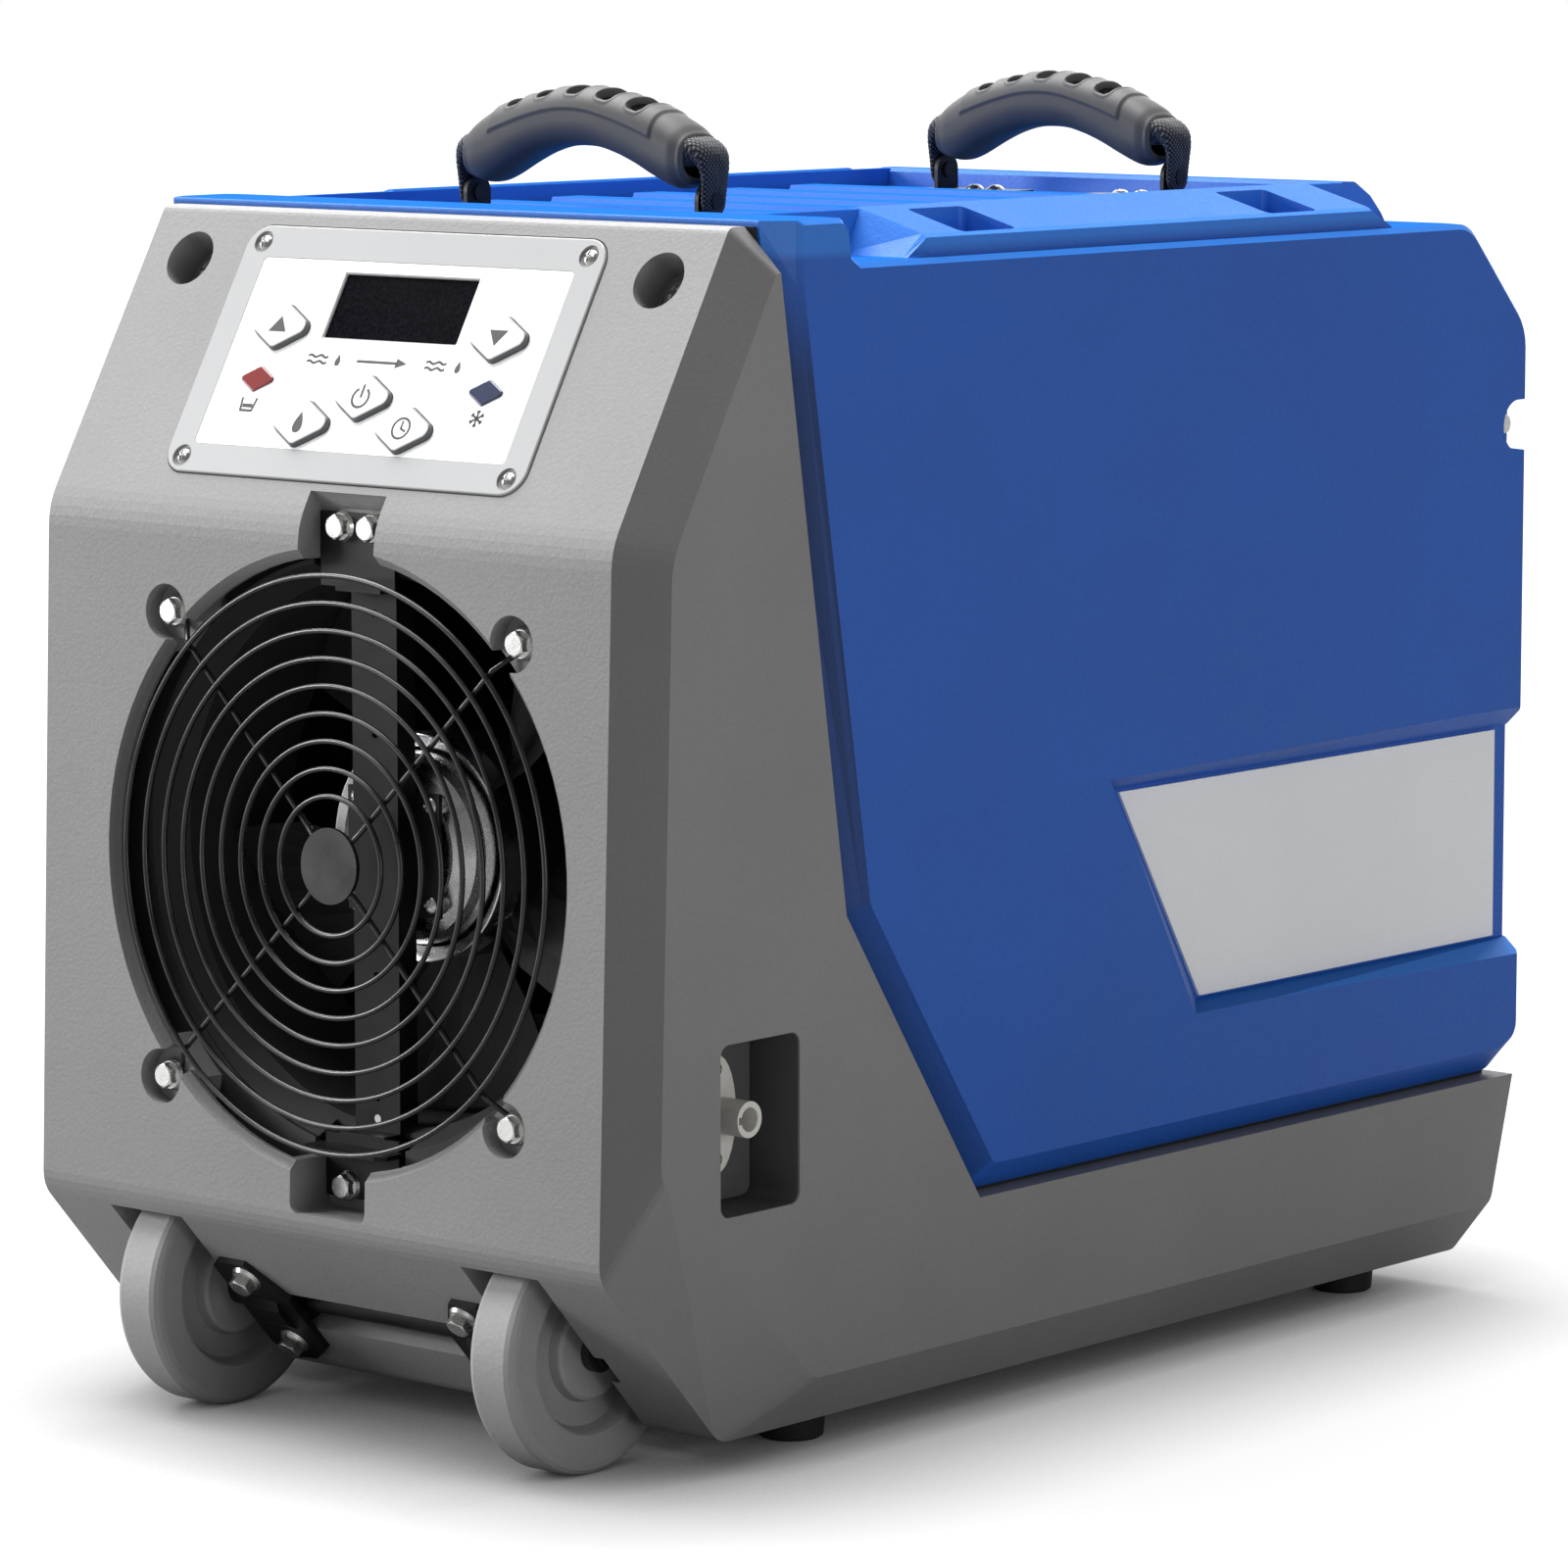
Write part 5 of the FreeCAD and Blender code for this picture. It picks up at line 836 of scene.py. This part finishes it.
# ---------------------------------------------------------------------------
# printed symbols; x across and s up the control slope, mm
# ---------------------------------------------------------------------------
INK = printing_ink()
INK_THICKNESS = 0.06
BUTTON_FACE, LABEL_FACE = 3.62, 0.91        # heights above the slope


def on_slope(x, s, height):
    point = SLOPE_FOOT + SLOPE_UP * s + SLOPE_NORMAL * height
    return place(x, point.y, point.z)


def print_mark(name, shapes, face, body):
    """Thin raised ink; each shape is (outline,) or, for a ring, (outer, inner)."""
    bm = bmesh.new()
    for outlines in shapes:
        edges = []
        for outline in outlines:
            for height in (face, face + INK_THICKNESS):
                edges.append([bm.verts.new(on_slope(x, s, height)) for x, s in outline])
        low, high = edges[:2]
        if len(outlines) == 1:
            bm.faces.new(high)
            bm.faces.new(low[::-1])
        for i in range(len(low)):
            j = (i + 1) % len(low)
            if len(outlines) == 2:
                inner_low, inner_high = edges[2:]
                bm.faces.new((high[i], high[j], inner_high[j], inner_high[i]))
                bm.faces.new((low[j], low[i], inner_low[i], inner_low[j]))
            bm.faces.new((low[i], low[j], high[j], high[i]))
            if len(outlines) == 2:
                bm.faces.new((inner_low[j], inner_low[i], inner_high[i], inner_high[j]))
    bmesh.ops.recalc_face_normals(bm, faces=bm.faces)
    mesh = bpy.data.meshes.new(name)
    bm.to_mesh(mesh)
    bm.free()
    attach(add_object(name, mesh, INK), body)


def polar(x, s, radius, degrees):
    angle = math.radians(degrees)
    return x + radius * math.cos(angle), s + radius * math.sin(angle)


def circle(x, s, radius):
    return [polar(x, s, radius, 360.0 * i / 40) for i in range(40)]


def arc(x, s, radius, start, end):
    return [polar(x, s, radius, start + (end - start) * i / 30) for i in range(31)]


def bar(x0, s0, x1, s1, width):
    along = Vector((x1 - x0, s1 - s0)).normalized()
    side = Vector((-along.y, along.x)) * (width / 2)
    return ([(x0 + side.x, s0 + side.y), (x0 - side.x, s0 - side.y),
             (x1 - side.x, s1 - side.y), (x1 + side.x, s1 + side.y)],)


def drop(x, s, size):
    turns = [2 * math.pi * i / 36 for i in range(36)]
    return ([(x + size * 2.6 * math.sin(t) * (math.sin(t / 2)) ** 1.3,
              s + size * 3.6 * math.cos(t)) for t in turns],)


def triangle(x, base_s, tip_s):
    """Arrowhead pointing up or down the slope, its corners in the order base, tip, base."""
    return [(x - 5.4, base_s), (x, tip_s), (x + 5.4, base_s)]


def wave_marks():
    """Two rows of short wavy lines at each end of the arrow."""
    step, pieces = 1.5, 8
    shapes = []
    for start in (-44.0, 27.0):
        for row in range(2):
            def wave(x):
                return 80.4 - 2.9 * row + 0.7 * math.sin((x - start) * 1.05)
            for i in range(pieces):
                x0, x1 = start + i * step, start + (i + 1) * step
                shapes.append(bar(x0, wave(x0), x1 + 0.05, wave(x1), width=1.15))
    return shapes


def frost_mark(x, s):
    """Three crossed bars with a pair of barbs on each of the six arms."""
    shapes = []
    for k in range(3):
        angle = math.radians(60 * k + 30)
        dx, ds = 4 * math.cos(angle), 4 * math.sin(angle)
        shapes.append(bar(x - dx, s - ds, x + dx, s + ds, width=1.05))
    for k in range(6):
        angle = math.radians(60 * k + 30)
        root_x, root_s = x + 2.6 * math.cos(angle), s + 2.6 * math.sin(angle)
        for lean in (40, -40):
            barb = angle + math.radians(lean)
            shapes.append(bar(root_x, root_s, root_x + 1.4 * math.cos(barb),
                              root_s + 1.4 * math.sin(barb), width=0.8))
    return shapes


# up mark: same head, listed base, base, tip
left_corner, tip, right_corner = triangle(-66.0, base_s=89.9, tip_s=97.6)
print_mark("mark_up", [([left_corner, right_corner, tip],)], BUTTON_FACE, "up_button")
print_mark("mark_down", [(triangle(65.1, base_s=96.5, tip_s=88.8),)], BUTTON_FACE,
           "down_button")
POWER_X, POWER_S = -1.0, 60.6
power_arc = (arc(POWER_X, POWER_S, 5.3, 122, 418)
             + arc(POWER_X, POWER_S, 4.1, 122, 418)[::-1])
print_mark("mark_power", [(power_arc,), bar(POWER_X, POWER_S, POWER_X, 67.0, width=1.2)],
           BUTTON_FACE, "power_button")
print_mark("mark_purge", [drop(-32.2, 47.0, size=1.45)], BUTTON_FACE, "purge_button")
CLOCK_X, CLOCK_S = 29.4, 47.3
print_mark("mark_timer",
           [(circle(CLOCK_X, CLOCK_S, 5.4), circle(CLOCK_X, CLOCK_S, 4.3)),
            bar(CLOCK_X, 46.9, CLOCK_X, 51.0, width=1.0),
            bar(29.1, CLOCK_S, 32.4, 45.9, width=1.0)],
           BUTTON_FACE, "timer_button")
# air flow row under the display
print_mark("mark_flow_arrow",
           [bar(-14.0, 79.0, 10.0, 79.0, width=1.3),
            ([(9.5, 76.6), (15.9, 79.0), (9.5, 81.4)],)],
           LABEL_FACE, "case")
print_mark("mark_air", wave_marks(), LABEL_FACE, "case")
print_mark("mark_drops", [drop(x, 79.0, size=0.8) for x in (-25.5, 46.5)], LABEL_FACE, "case")
# Open tank with a water line: x0, s0, x1, s1, width of each bar.
TANK_BARS = [
    (-74.0, 58.2, -73.0, 51.8, 1.2), (-73.2, 52.0, -66.0, 52.0, 1.2),
    (-66.2, 51.8, -65.2, 58.2, 1.2), (-72.6, 54.4, -66.6, 54.4, 1.8)]
print_mark("mark_full", [bar(*row) for row in TANK_BARS], LABEL_FACE, "case")
print_mark("mark_frost", frost_mark(68.1, 55.4), LABEL_FACE, "case")


# ---------------------------------------------------------------------------
# floor and rounded edges
# ---------------------------------------------------------------------------
def build_floor(half=14.0):
    bm = bmesh.new()
    for x, y in ((-half, -half), (half, -half), (half, half), (-half, half)):
        bm.verts.new((x, y, 0.0))
    bm.faces.new(bm.verts)
    mesh = bpy.data.meshes.new("floor")
    bm.to_mesh(mesh)
    bm.free()
    add_object("floor", mesh, floor_paper())


def soften(piece, width, segments):
    bevel = NODES[piece].modifiers.new("edge_round", "BEVEL")
    bevel.width = width
    bevel.segments = segments
    bevel.limit_method = "ANGLE"
    bevel.angle_limit = math.radians(28.0)
    bevel.use_clamp_overlap = True
    bevel.miter_outer = "MITER_ARC"
    bevel.harden_normals = True


build_floor()
for piece in ("front_housing", "top_cover"):
    soften(piece, width=0.0024, segments=3)
soften("control_panel_plate", width=0.0006, segments=2)
for piece in ("badge_plates", "intake_frame", "filter_cassette", "drain_plate",
              "axle_brackets", "fan_bracket", "strap_plates"):
    soften(piece, width=0.0004, segments=2)


# ---------------------------------------------------------------------------
# world, lights, camera
# ---------------------------------------------------------------------------
def build_world():
    """White to the camera, a dim fill, and brighter reflections from the back on the -X side."""
    bright_side = (-0.64, 0.76, 0.1)
    fill = 0.25
    world = bpy.data.worlds.new("studio")
    bpy.context.scene.world = world
    world.use_nodes = True
    nodes, link = world.node_tree.nodes, world.node_tree.links.new
    background = nodes["Background"]
    background.inputs[0].default_value = (1.0, 1.0, 1.0, 1.0)
    path = nodes.new("ShaderNodeLightPath")
    coords = nodes.new("ShaderNodeTexCoord")
    toward = nodes.new("ShaderNodeVectorMath")
    toward.operation = "DOT_PRODUCT"
    link(coords.outputs["Generated"], toward.inputs[0])
    toward.inputs[1].default_value = bright_side
    # from 0.2 .. 0.9 alignment to 0.0 .. 0.9 brightness
    glare = nodes.new("ShaderNodeMapRange")
    link(toward.outputs["Value"], glare.inputs[0])
    for i, limit in enumerate((0.2, 0.9, 0.0, 0.9)):
        glare.inputs[i + 1].default_value = limit
    reflected = nodes.new("ShaderNodeMath")
    reflected.operation = "MULTIPLY_ADD"
    link(path.outputs["Is Glossy Ray"], reflected.inputs[0])
    link(glare.outputs[0], reflected.inputs[1])
    reflected.inputs[2].default_value = fill
    strength = nodes.new("ShaderNodeMath")
    strength.operation = "MAXIMUM"
    link(path.outputs["Is Camera Ray"], strength.inputs[0])
    link(reflected.outputs[0], strength.inputs[1])
    link(strength.outputs[0], background.inputs[1])


def add_light(name, kind, power):
    data = bpy.data.lights.new(name, kind)
    data.energy = power
    light = bpy.data.objects.new(name, data)
    bpy.context.scene.collection.objects.link(light)
    return light


def add_area(name, location, target, size, power):
    light = add_light(name, "AREA", power)
    light.data.shape = "RECTANGLE"
    light.data.size = size
    light.data.size_y = size
    light.location = location
    aim = (Vector(target) - Vector(location)).normalized()
    light.rotation_euler = aim.to_track_quat("-Z", "Y").to_euler()


def add_camera():
    tilt_down, turn = 7.4867, 40.3206       # degrees below level, and round from facing +Y
    data = bpy.data.cameras.new("camera")
    camera = bpy.data.objects.new("camera", data)
    bpy.context.scene.collection.objects.link(camera)
    data.sensor_width = 36.0
    data.lens = 154.386
    camera.location = (2.0321, -2.4048, 0.6782)
    camera.rotation_euler = (math.radians(90.0 - tilt_down), 0.0, math.radians(turn))
    bpy.context.scene.camera = camera


bpy.context.scene.view_settings.view_transform = "Standard"
build_world()
sun = add_light("overhead", "SUN", power=9.2)
sun.data.angle = math.radians(56.0)
sun.rotation_euler = (math.radians(-6.0), math.radians(-26.0), 0.0)
add_area("front", (-3.3, -2.7, 1.4), target=(0, -0.2, 0.28), size=1.6, power=152)
add_area("side", (3.5, -0.7, 0.55), target=(0.1, 0.0, 0.25), size=1.5, power=31)
add_area("rear_fill", (-1.5, 3.4, 1.6), target=(0, 0.1, 0.28), size=1.6, power=32)
add_camera()

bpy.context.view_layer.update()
